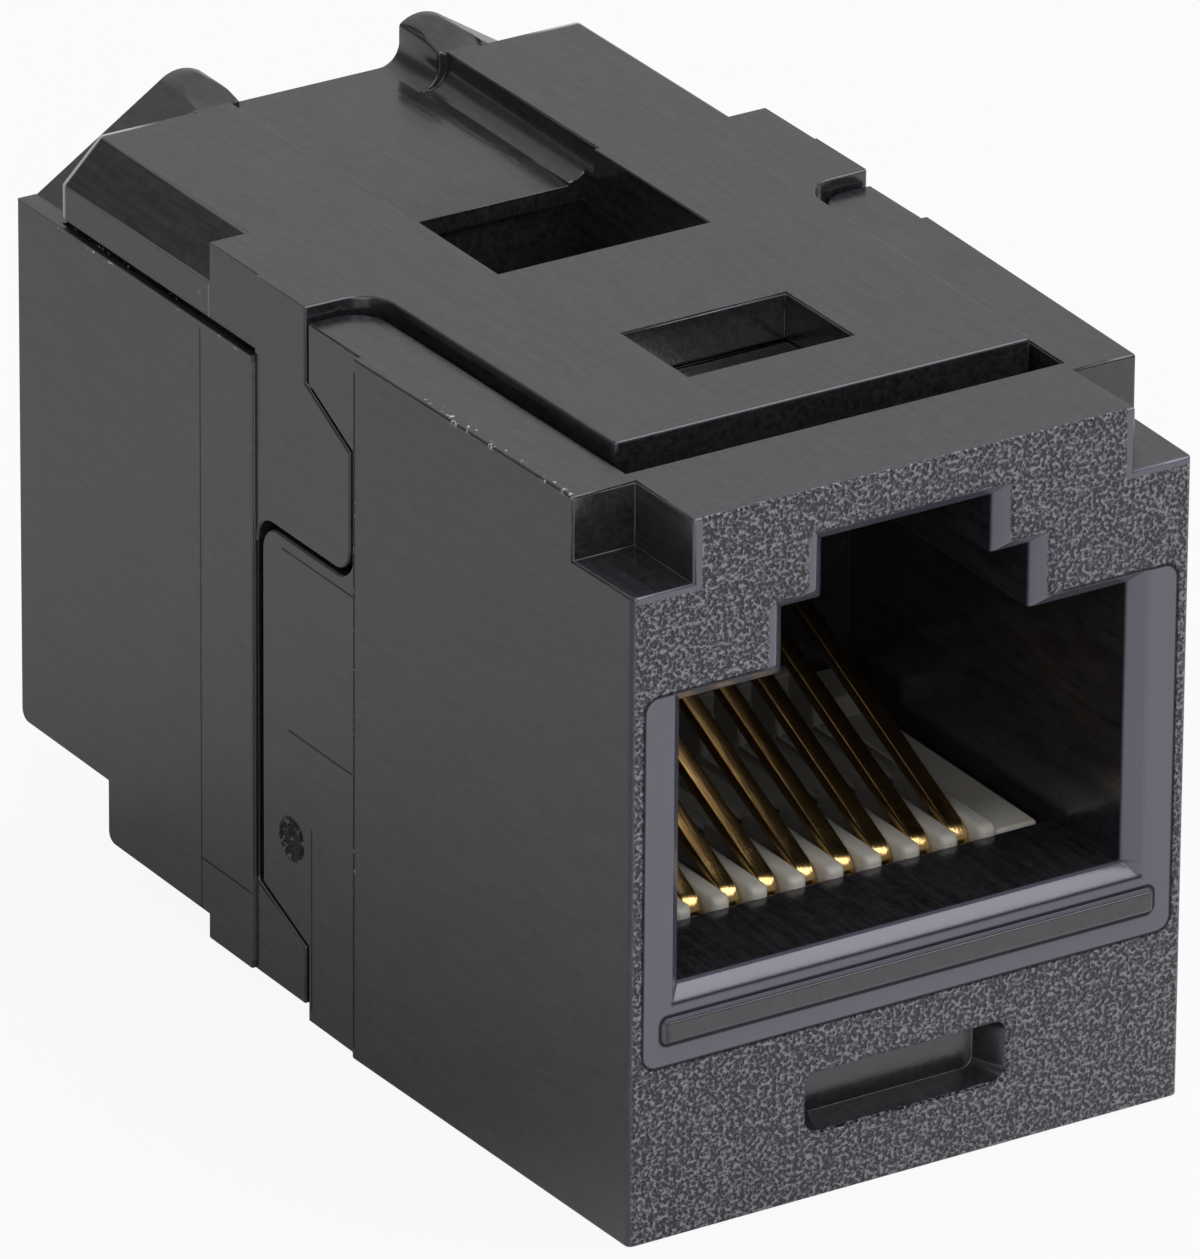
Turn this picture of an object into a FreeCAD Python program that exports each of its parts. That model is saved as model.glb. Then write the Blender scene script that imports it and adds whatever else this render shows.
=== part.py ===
"""Ethernet keystone coupler: two modular sockets back to back in an interlocked two-piece housing.

Every depth is measured from the face of the front socket towards the rear, every height from the
underside and every x from the middle. Placement then moves the whole part so that the origin is
at the middle of its footprint. The rear socket's inner pieces are the front ones turned about Z.
"""
import FreeCAD, Part
import math
import os
import Sketcher

SIZES = {
    # Modular socket, the same at both ends
    "socket_width": 11.76,
    "socket_floor": 6.1,
    "socket_height": 6.88,
    "shoulder_width": 6.5,
    "shoulder_rise": 1.6,
    "channel_width": 4.46,
    "channel_rise": 1.42,
    "socket_depth": 11.6,
    "lead_in": 0.38,
    "shelf_depth": 3.0,
    "shelf_thickness": 1.15,
    # Wall between the two sockets, split by the joint a little behind its middle
    "bulkhead": 3.0,
    "joint_offset": 0.35,
    # Widths outside
    "flank": 1.47,
    "step_out": 0.3,
    "step_inset": 2.15,
    "waist_out": 0.15,
    "rear_out": 0.1,
    "front_corner_radius": 0.17,
    # Seam between the two housings
    "seam_gap": 0.12,
    "tab_end_gap": 0.2,
    "slip_gap": 0.1,
    "side_wall": 1.1,
    "cheek_reach": 1.93,
    "cheek_rise": 0.19,
    "cheek_drop": 0.96,
    "tab_reach": 2.0,
    "tab_top": 11.75,
    "tab_bottom": 1.89,
    "tab_rise": 0.83,
    "seam_radius": 0.65,
    # Tongue of the rear housing and its pocket in the front housing
    "roof_thickness": 0.5,
    "tongue_thickness": 1.15,
    "rim_drop": 0.33,
    "rim_depth": 2.9,
    "tongue_front": 3.75,
    "tongue_side": 1.85,
    "tongue_flare": 0.2,
    "tongue_side_gap": 0.22,
    "shoulder_radius": 0.9,
    "tongue_corner_radius": 0.15,
    # Latch windows
    "window_width": 4.3,
    "window_depth": 5.95,
    "window_length": 2.75,
    "window_margin": 0.1,
    "rear_window_side": 0.1,
    "rear_window_lap": 0.5,
    "rear_window_reach": 4.75,
    # Front face details
    "notch_width": 1.56,
    "notch_depth": 2.41,
    "notch_height": 1.54,
    "rib_side": 0.85,
    "rib_space": 0.27,
    "rib_thickness": 0.6,
    "rib_height": 0.17,
    "rib_bevel": 0.13,
    "slot_width": 5.4,
    "slot_bottom": 1.62,
    "slot_thickness": 1.48,
    "slot_depth": 1.25,
    "slot_side_draft": 0.4,
    "slot_floor_draft": 0.06,
    "slot_radius": 0.3,
    # Rear housing
    "rear_base": 0.37,
    "block_reach": 4.4,
    "panel_line_reach": 2.3,
    "belt_drop": 2.0,
    "belt_groove": 0.12,
    "rail_in": 0.05,
    "rail_slope_in": 1.0,
    "rail_slope_drop": 1.0,
    "rail_end_inset": 1.8,
    "trough_width": 5.8,
    "trough_drop": 0.88,
    "trough_plate": 0.54,
    "trough_radius": 0.55,
    "trough_ramp_length": 1.72,
    "trough_ramp_drop": 0.09,
    "catch_wall": 0.8,
    "catch_recess": 0.15,
    "flange_in": 0.35,
    "flange_trough_width": 5.35,
    "flange_crest_thickness": 1.15,
    "flange_crest_rise": 0.2,
    "flange_shoulder_rise": 0.1,
    "flange_ramp_overrun": 0.1,
    "first_step_inset": 8.5,
    "first_step_height": 0.96,
    "second_step_inset": 3.95,
    "second_step_height": 2.5,
    "heel_radius": 0.3,
    # Board and the room for it
    "board_thickness": 1.0,
    "board_top_gap": 0.05,
    "board_side_gap": 0.13,
    "board_inset": 1.85,
    "board_end_gap": 0.1,
    "board_ledge": 0.85,
    "board_front_ledge": 0.75,
    "well_floor": 1.3,
    "rear_well_floor": 1.9,
    "rear_well_inset": 4.8,
    "tail_room": 0.25,
    "tail_gap": 0.12,
    "tail_swing": 0.5,
    "tail_slot_width": 0.66,
    # Contacts
    "contact_pitch": 1.016,
    "strip_width": 0.46,
    "strip_thickness": 0.3,
    "bend_inset": 0.95,
    "bend_drop": 0.35,
    "bend_inner_radius": 0.35,
    "arm_angle": 25.0,
    "arm_gap": 0.48,
    "tail_reach": 0.55,
    # Contact carriers
    "nose_gap": 0.05,
    "carrier_side": 0.25,
    "carrier_end_gap": 0.2,
    "tooth_width": 0.42,
    "comb_reach": 1.5,
    "comb_rise": 0.95,
    "comb_web": 0.4,
    "comb_low_rise": 0.55,
    "groove_drop": 0.25,
    "groove_side": 0.066,
    "peg_radius": 0.5,
    "peg_length": 0.8,
    "peg_gap": 0.05,
}
CONTACT_COUNT = 8
XY, XZ, YZ = "XY_Plane", "XZ_Plane", "YZ_Plane"


class Size:
    """A number together with the sheet expression that gives it."""

    def __init__(self, value, text):
        self.value, self.text = float(value), text

    @staticmethod
    def of(thing):
        return thing if isinstance(thing, Size) else Size(thing, repr(float(thing)))

    def joined(self, sign, other, value):
        return Size(value, f"({self.text} {sign} {Size.of(other).text})")

    def __add__(self, other):
        return self.joined("+", other, self.value + Size.of(other).value)

    def __radd__(self, other):
        return Size.of(other) + self

    def __sub__(self, other):
        return self.joined("-", other, self.value - Size.of(other).value)

    def __rsub__(self, other):
        return Size.of(other) - self

    def __mul__(self, other):
        return self.joined("*", other, self.value * Size.of(other).value)

    def __truediv__(self, other):
        return self.joined("/", other, self.value / Size.of(other).value)

    def __neg__(self):
        return Size(-self.value, f"(-{self.text})")


def sine(angle):
    return Size(math.sin(math.radians(angle.value)), f"sin({angle.text})")


def cosine(angle):
    return Size(math.cos(math.radians(angle.value)), f"cos({angle.text})")


class Sheet:
    """Gives each named size of the spreadsheet as a Size."""

    def __getattr__(self, alias):
        return Size(numbers[alias], f"sizes.{alias}")


class Bend:
    """Stands between two corners of an outline and joins them by an arc about a centre."""

    def __init__(self, across, up, radius, clockwise):
        self.across, self.up, self.radius = Size.of(across), Size.of(up), Size.of(radius)
        self.clockwise = clockwise


class Disc:
    """Round outline about a centre."""

    def __init__(self, across, up, radius):
        self.across, self.up, self.radius = Size.of(across), Size.of(up), Size.of(radius)


doc = FreeCAD.newDocument("EthernetCoupler")
sheet = doc.addObject("Spreadsheet::Sheet", "sizes")
numbers = {}
s = Sheet()


def enter(alias, number, content):
    """Fills the next row of the sheet."""
    numbers[alias] = number
    row = len(numbers)
    sheet.set(f"A{row}", alias)
    sheet.set(f"B{row}", content)
    sheet.setAlias(f"B{row}", alias)


def derive(**sizes):
    """Enters sizes that follow from others, as formulas."""
    for alias, size in sizes.items():
        enter(alias, size.value, "=" + size.text.replace("sizes.", ""))


for base_alias, base_number in SIZES.items():
    enter(base_alias, base_number, str(base_number))
# Heights, from the socket's floor up
derive(socket_ceiling=s.socket_floor + s.socket_height)
derive(shoulder_ceiling=s.socket_ceiling + s.shoulder_rise)
derive(channel_ceiling=s.shoulder_ceiling + s.channel_rise)
derive(pocket_floor=s.channel_ceiling + s.roof_thickness)
derive(tongue_base=s.pocket_floor + s.slip_gap)
derive(top_height=s.tongue_base + s.tongue_thickness)
derive(rim_height=s.top_height - s.rim_drop,
       belt_height=s.top_height - s.belt_drop,
       rail_wall_top=s.top_height - s.rail_slope_drop,
       trough_floor=s.top_height - s.trough_drop,
       flange_shoulder_height=s.top_height + s.flange_shoulder_rise)
derive(flange_ramp_top=s.flange_shoulder_height + s.flange_crest_rise + s.flange_ramp_overrun,
       notch_floor=s.rim_height - s.notch_height,
       cheek_top=s.belt_height + s.cheek_rise,
       plate_base=s.trough_floor - s.trough_plate)
# Heights, from the socket's floor down
derive(shelf_base=s.socket_floor - s.shelf_thickness,
       rib_top=s.socket_floor - s.lead_in - s.rib_space,
       bend_height=s.socket_floor - s.bend_drop,
       groove_floor=s.socket_floor - s.groove_drop)
derive(rib_bottom=s.rib_top - s.rib_thickness,
       board_top=s.shelf_base - s.board_top_gap)
derive(board_base=s.board_top - s.board_thickness)
derive(tail_end=s.board_base - s.tail_reach)
derive(tail_room_floor=s.tail_end - s.tail_room)
# Widths
derive(front_width=s.socket_width + s.flank * 2)
derive(step_width=s.front_width + s.step_out * 2,
       waist_width=s.front_width + s.waist_out * 2,
       notch_spacing=s.front_width - s.notch_width * 2,
       rib_width=s.front_width - s.rib_side * 2,
       tongue_front_width=s.front_width - s.tongue_side * 2,
       rear_window_width=s.trough_width - s.rear_window_side * 2,
       board_width=s.socket_width - s.board_side_gap * 2,
       groove_width=s.contact_pitch * CONTACT_COUNT + s.tooth_width + s.groove_side * 2)
derive(rear_width=s.waist_width + s.rear_out * 2,
       tongue_rear_width=s.tongue_front_width + s.tongue_flare * 2,
       rail_width=s.waist_width - s.rail_in * 2,
       flange_top_width=s.flange_trough_width + s.flange_crest_thickness * 2,
       well_width=s.board_width - s.board_ledge * 2,
       carrier_width=s.board_width - s.carrier_side * 2)
derive(rail_top_width=s.rail_width - s.rail_slope_in * 2,
       flange_base_width=s.rail_width - s.flange_in * 2,
       peg_spacing=(s.groove_width + s.carrier_width) / 2)
# Depths
derive(overall_depth=s.socket_depth * 2 + s.bulkhead,
       carrier_front=s.shelf_depth + s.slip_gap,
       carrier_rear=s.socket_depth - s.carrier_end_gap,
       bend_depth=s.shelf_depth + s.bend_inset,
       well_front=s.board_inset + s.board_front_ledge)
derive(joint_depth=s.overall_depth / 2 + s.joint_offset,
       rail_end_depth=s.overall_depth - s.rail_end_inset,
       first_step_depth=s.overall_depth - s.first_step_inset,
       second_step_depth=s.overall_depth - s.second_step_inset,
       rear_well_end=s.overall_depth - s.rear_well_inset,
       tail_room_end=s.overall_depth - s.well_front,
       peg_depth=(s.carrier_front + s.carrier_rear) / 2,
       comb_depth=s.carrier_rear - s.comb_reach,
       web_front=s.carrier_rear - s.comb_web,
       tail_slot_rear=s.bend_depth - s.bend_inner_radius + s.tail_gap,
       tail_slot_front=(s.bend_depth - s.bend_inner_radius - s.strip_thickness
                        - s.tail_swing))
derive(step_depth=s.joint_depth - s.step_inset,
       panel_line_depth=s.joint_depth + s.panel_line_reach,
       block_depth=s.joint_depth + s.block_reach,
       rear_window_depth=s.joint_depth - s.rear_window_lap,
       rear_window_end=s.joint_depth + s.rear_window_reach,
       arm_length=(s.web_front - s.arm_gap - s.bend_depth) / cosine(s.arm_angle))
derive(rear_channel_end=s.rear_window_end + s.catch_wall)
doc.recompute()


def origin_feature(body, role):
    return next(feature for feature in body.Origin.OriginFeatures if feature.Role == role)


def bind(item, path, size):
    """Sets a property from the sheet."""
    item.setExpression(path, Size.of(size).text)


def outline(body, name, plane, at, nodes):
    """Closed sketch parallel to an origin plane, 'at' along the axis that the plane faces.

    The nodes are (across, up) corners in the plane, each fixed by its two distances from the
    origin; a Bend between two corners joins them by an arc. A Disc gives a circle instead.
    """
    sketch = body.newObject("Sketcher::SketchObject", name)
    sketch.AttachmentSupport = [(origin_feature(body, plane), "")]
    sketch.MapMode = "FlatFace"
    shift = Size.of(at)
    bind(sketch, "AttachmentOffset.Base.z", -shift if plane == XZ else shift)
    if isinstance(nodes, Disc):
        return round_outline(sketch, nodes)
    corners = [node for node in nodes if not isinstance(node, Bend)]
    bends = {}
    for index, node in enumerate(nodes):
        if isinstance(node, Bend):
            before = sum(not isinstance(other, Bend) for other in nodes[:index]) - 1
            bends[before] = node
    points = [FreeCAD.Vector(Size.of(a).value, Size.of(b).value, 0) for a, b in corners]
    ends = []
    for index, start in enumerate(points):
        finish = points[(index + 1) % len(points)]
        bend = bends.get(index)
        if bend is None:
            edge = sketch.addGeometry(Part.LineSegment(start, finish))
            ends.append((edge, 1, 2))
            continue
        centre = FreeCAD.Vector(bend.across.value, bend.up.value, 0)
        circle = Part.Circle(centre, FreeCAD.Vector(0, 0, 1), bend.radius.value)
        first, last = (finish, start) if bend.clockwise else (start, finish)
        angles = [math.atan2(p.y - centre.y, p.x - centre.x) for p in (first, last)]
        if angles[1] <= angles[0]:
            angles[1] += 2 * math.pi
        edge = sketch.addGeometry(Part.ArcOfCircle(circle, *angles))
        ends.append((edge, 2, 1) if bend.clockwise else (edge, 1, 2))
        mark = sketch.addConstraint(Sketcher.Constraint("Radius", edge, bend.radius.value))
        bind(sketch, f"Constraints[{mark}]", bend.radius)
    for index, (edge, first, last) in enumerate(ends):
        following, start, _ = ends[(index + 1) % len(ends)]
        sketch.addConstraint(Sketcher.Constraint("Coincident", edge, last, following, start))
        for kind, size in zip(("DistanceX", "DistanceY"), corners[index]):
            mark = sketch.addConstraint(
                Sketcher.Constraint(kind, -1, 1, edge, first, Size.of(size).value))
            bind(sketch, f"Constraints[{mark}]", size)
    return sketch


def round_outline(sketch, disc):
    """Circle whose centre and radius come from the sheet."""
    centre = FreeCAD.Vector(disc.across.value, disc.up.value, 0)
    edge = sketch.addGeometry(Part.Circle(centre, FreeCAD.Vector(0, 0, 1), disc.radius.value))
    for kind, size in (("DistanceX", disc.across), ("DistanceY", disc.up)):
        mark = sketch.addConstraint(Sketcher.Constraint(kind, -1, 1, edge, 3, size.value))
        bind(sketch, f"Constraints[{mark}]", size)
    mark = sketch.addConstraint(Sketcher.Constraint("Radius", edge, disc.radius.value))
    bind(sketch, f"Constraints[{mark}]", disc.radius)
    return sketch


def volume_of(body):
    return body.Shape.Volume if body.Shape and not body.Shape.isNull() else 0.0


def solid_feature(body, kind, name, sketch, length, plane):
    """Pad or Pocket that runs from its sketch towards +X, +Y or +Z, and must change the body."""
    before = volume_of(body)
    feature = body.newObject(f"PartDesign::{kind}", name)
    feature.Profile = sketch
    feature.Reversed = (plane == XZ) == (kind == "Pad")
    bind(feature, "Length", length)
    doc.recompute()
    grown = volume_of(body) - before
    if (grown <= 0) == (kind == "Pad"):
        raise ValueError(f"{body.Label}: {name} changed the volume by {grown:.4f}")
    return feature


def pad(body, name, plane, start, end, nodes):
    sketch = outline(body, name + "_outline", plane, start, nodes)
    return solid_feature(body, "Pad", name, sketch, Size.of(end) - start, plane)


def pocket(body, name, plane, start, end, nodes):
    sketch = outline(body, name + "_outline", plane, start, nodes)
    return solid_feature(body, "Pocket", name, sketch, Size.of(end) - start, plane)


def mirrored(body, feature):
    """Copies one side's feature to the other side of the middle."""
    mirror = body.newObject("PartDesign::Mirrored", feature.Name + "_both")
    mirror.Originals = [feature]
    mirror.MirrorPlane = (origin_feature(body, YZ), [""])
    body.Tip = mirror
    doc.recompute()
    return mirror


def repeated(body, feature, occurrences, spacing):
    """Copies a feature along X at an even spacing."""
    pattern = body.newObject("PartDesign::LinearPattern", feature.Name + "_row")
    pattern.Originals = [feature]
    pattern.Direction = (origin_feature(body, "X_Axis"), [""])
    pattern.Occurrences = occurrences
    bind(pattern, "Length", spacing * (occurrences - 1))
    body.Tip = pattern
    doc.recompute()
    return pattern


def loft(body, kind, name, profile, section):
    before = volume_of(body)
    feature = body.newObject(f"PartDesign::{kind}Loft", name)
    feature.Profile = profile
    feature.Sections = [section]
    feature.Ruled = True
    doc.recompute()
    if (volume_of(body) <= before) == (kind == "Additive"):
        raise ValueError(f"{body.Label}: {name} changed nothing")
    return feature


def edges_along(shape, axis, **through):
    """Names of the straight edges that run along an axis through the given coordinates."""
    names = []
    for number, edge in enumerate(shape.Edges, start=1):
        if edge.Curve.TypeId != "Part::GeomLine" or len(edge.Vertexes) != 2:
            continue
        direction = edge.Curve.Direction
        if abs(getattr(direction, axis)) < 0.999:
            continue
        middle = edge.CenterOfMass
        if all(abs(abs(getattr(middle, key)) - abs(Size.of(size).value)) < 0.005
               for key, size in through.items()):
            names.append(f"Edge{number}")
    return names


def rounded(body, name, axis, radius, expected, **through):
    """Fillet on the edges along an axis through the given coordinates, on both sides in x."""
    base = body.Tip
    names = edges_along(base.Shape, axis, **through)
    if len(names) != expected:
        raise ValueError(f"{body.Label}: {name} found {len(names)} edges, not {expected}")
    fillet = body.newObject("PartDesign::Fillet", name)
    fillet.Base = (base, names)
    bind(fillet, "Radius", radius)
    doc.recompute()
    return fillet


def rectangle(left, right, bottom, top):
    return [(left, bottom), (right, bottom), (right, top), (left, top)]


def new_body(label, turned=False):
    """Body that Placement brings from the socket's own face to the coupler's middle."""
    body = doc.addObject("PartDesign::Body", label)
    body.Label = label
    middle = (s.overall_depth - s.rib_height) / 2
    if turned:
        body.Placement.Rotation = FreeCAD.Rotation(FreeCAD.Vector(0, 0, 1), 180)
        bind(body, "Placement.Base.y", s.overall_depth - middle)
    else:
        bind(body, "Placement.Base.y", -middle)
    return body


def both_sides(right):
    """Adds the mirror images of the corners on the right, in reverse, so that they close."""
    return right + [(-across, up) for across, up in reversed(right)]


def socket_steps(margin):
    """Right half of a modular socket's opening: plug body, shoulder, then latch channel."""
    half, shoulder = s.socket_width / 2 + margin, s.shoulder_width / 2 + margin
    channel = s.channel_width / 2 + margin
    floor, ceiling = s.socket_floor - margin, s.socket_ceiling + margin
    shoulder_top, top = s.shoulder_ceiling + margin, s.channel_ceiling + margin
    return [(half, floor), (half, ceiling), (shoulder, ceiling), (shoulder, shoulder_top),
            (channel, shoulder_top), (channel, top)]


def socket(body, face, inward, channel_end):
    """Socket cavity, its latch channel and its lead-in bevel.

    The socket starts at its face and runs towards +Y where inward is 1, towards -Y where it is
    -1. The latch channel ends at a depth of its own.
    """
    zero = Size.of(0)
    cavity = both_sides(socket_steps(zero)[:4])
    half_channel = s.channel_width / 2
    channel = rectangle(-half_channel, half_channel, s.shoulder_ceiling, s.channel_ceiling)
    far = face + s.socket_depth * inward
    for name, end, section in (("socket", far, cavity), ("latch_channel", channel_end, channel)):
        start, finish = (face, end) if inward > 0 else (end, face)
        pocket(body, name, XZ, start, finish, section)
    outer = outline(body, "lead_in_outer", XZ, face, both_sides(socket_steps(s.lead_in)))
    inner = outline(body, "lead_in_inner", XZ, face + s.lead_in * inward,
                    both_sides(socket_steps(zero)))
    loft(body, "Subtractive", "lead_in_bevel", outer, inner)


def front_housing():
    """Front shell: socket, board chamber, tongue pocket, latch roof, notches, rib and slot."""
    body = new_body("front_housing")
    zero = Size.of(0)
    joint = s.joint_depth
    half_front, half_step, half_waist = s.front_width / 2, s.step_width / 2, s.waist_width / 2
    pad(body, "shell", XY, zero, s.rim_height,
        both_sides([(half_front, zero), (half_step, s.step_depth), (half_waist, s.step_depth),
                    (half_waist, joint)]))
    tab = pad(body, "tab", YZ, half_waist - s.side_wall, half_waist,
              [(joint - s.side_wall, s.tab_bottom), (joint, s.tab_bottom),
               (joint + s.tab_reach, s.tab_bottom + s.tab_rise),
               (joint + s.tab_reach, s.tab_top), (joint - s.side_wall, s.tab_top)])
    mirrored(body, tab)
    cheek_room = pocket(body, "cheek_room", YZ, half_waist - s.side_wall - s.slip_gap,
                        half_step,
                        [(joint - s.cheek_reach, s.tab_top), (joint + s.seam_gap, s.tab_top),
                         (joint + s.seam_gap, s.cheek_top), (joint, s.cheek_top),
                         (joint - s.cheek_reach, s.cheek_top - s.cheek_drop)])
    mirrored(body, cheek_room)
    socket(body, zero, 1, s.socket_depth)
    chamber_front = s.board_inset - s.board_end_gap
    half_socket = s.socket_width / 2
    pocket(body, "chamber", YZ, -half_socket, half_socket,
           [(chamber_front, s.board_base), (joint, s.board_base), (joint, s.socket_floor),
            (s.shelf_depth, s.socket_floor), (s.shelf_depth, s.shelf_base),
            (chamber_front, s.shelf_base)])
    pocket(body, "well", YZ, -s.well_width / 2, s.well_width / 2,
           rectangle(s.well_front, joint, s.well_floor, s.board_base))
    pocket_front, pocket_rear = s.tongue_front_width / 2, s.tongue_rear_width / 2
    pocket_front, pocket_rear = pocket_front + s.tongue_side_gap, pocket_rear + s.tongue_side_gap
    pocket(body, "tongue_pocket", XY, s.pocket_floor, s.rim_height,
           [(-pocket_front, s.rim_depth), (pocket_front, s.rim_depth),
            (pocket_rear, joint), (-pocket_rear, joint)])
    half_window = s.window_width / 2 + s.window_margin
    pocket(body, "roof_window", XY, s.shoulder_ceiling, s.rim_height,
           rectangle(-half_window, half_window, s.window_depth - s.window_margin,
                     s.window_depth + s.window_length + s.window_margin))
    notch = pocket(body, "corner_notch", YZ, s.notch_spacing / 2, half_step,
                   rectangle(zero, s.notch_depth, s.notch_floor, s.rim_height))
    mirrored(body, notch)
    slot_sizes = ((s.slot_width / 2, s.slot_bottom, s.slot_bottom + s.slot_thickness),
                  (s.slot_width / 2 - s.slot_side_draft, s.slot_bottom + s.slot_floor_draft,
                   s.slot_bottom + s.slot_thickness - s.slot_floor_draft))
    mouth, back = [rounded_slot(half, low, high, s.slot_radius) for half, low, high in slot_sizes]
    slot_mouth = outline(body, "slot_mouth", XZ, zero, mouth)
    slot_back = outline(body, "slot_back", XZ, s.slot_depth, back)
    loft(body, "Subtractive", "slot", slot_mouth, slot_back)
    half_rib = s.rib_width / 2
    rib_foot = outline(body, "rib_foot", XZ, zero,
                       rectangle(-half_rib, half_rib, s.rib_bottom, s.rib_top))
    crest = half_rib - s.rib_bevel
    rib_crest = outline(body, "rib_crest", XZ, -s.rib_height,
                        rectangle(-crest, crest, s.rib_bottom + s.rib_bevel,
                                  s.rib_top - s.rib_bevel))
    loft(body, "Additive", "rib", rib_foot, rib_crest)
    rounded(body, "tab_corners", "x", s.seam_radius, 2, y=joint + s.tab_reach, z=s.tab_top)
    rounded(body, "cheek_room_corners", "x", s.seam_radius, 2, y=joint - s.cheek_reach,
            z=s.tab_top)
    rounded(body, "strip_ends", "z", s.shoulder_radius, 2, x=pocket_rear, y=joint)
    rounded(body, "front_corners", "z", s.front_corner_radius, 2, x=half_front, y=zero)
    return body


def rounded_slot(half, low, high, radius):
    """Rectangle with its four corners rounded, anticlockwise from the lower left."""
    return [(-half + radius, low), (half - radius, low),
            Bend(half - radius, low + radius, radius, False),
            (half, low + radius), (half, high - radius),
            Bend(half - radius, high - radius, radius, False),
            (half - radius, high), (-half + radius, high),
            Bend(-half + radius, high - radius, radius, False),
            (-half, high - radius), (-half, low + radius),
            Bend(-half + radius, low + radius, radius, False)]


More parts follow.
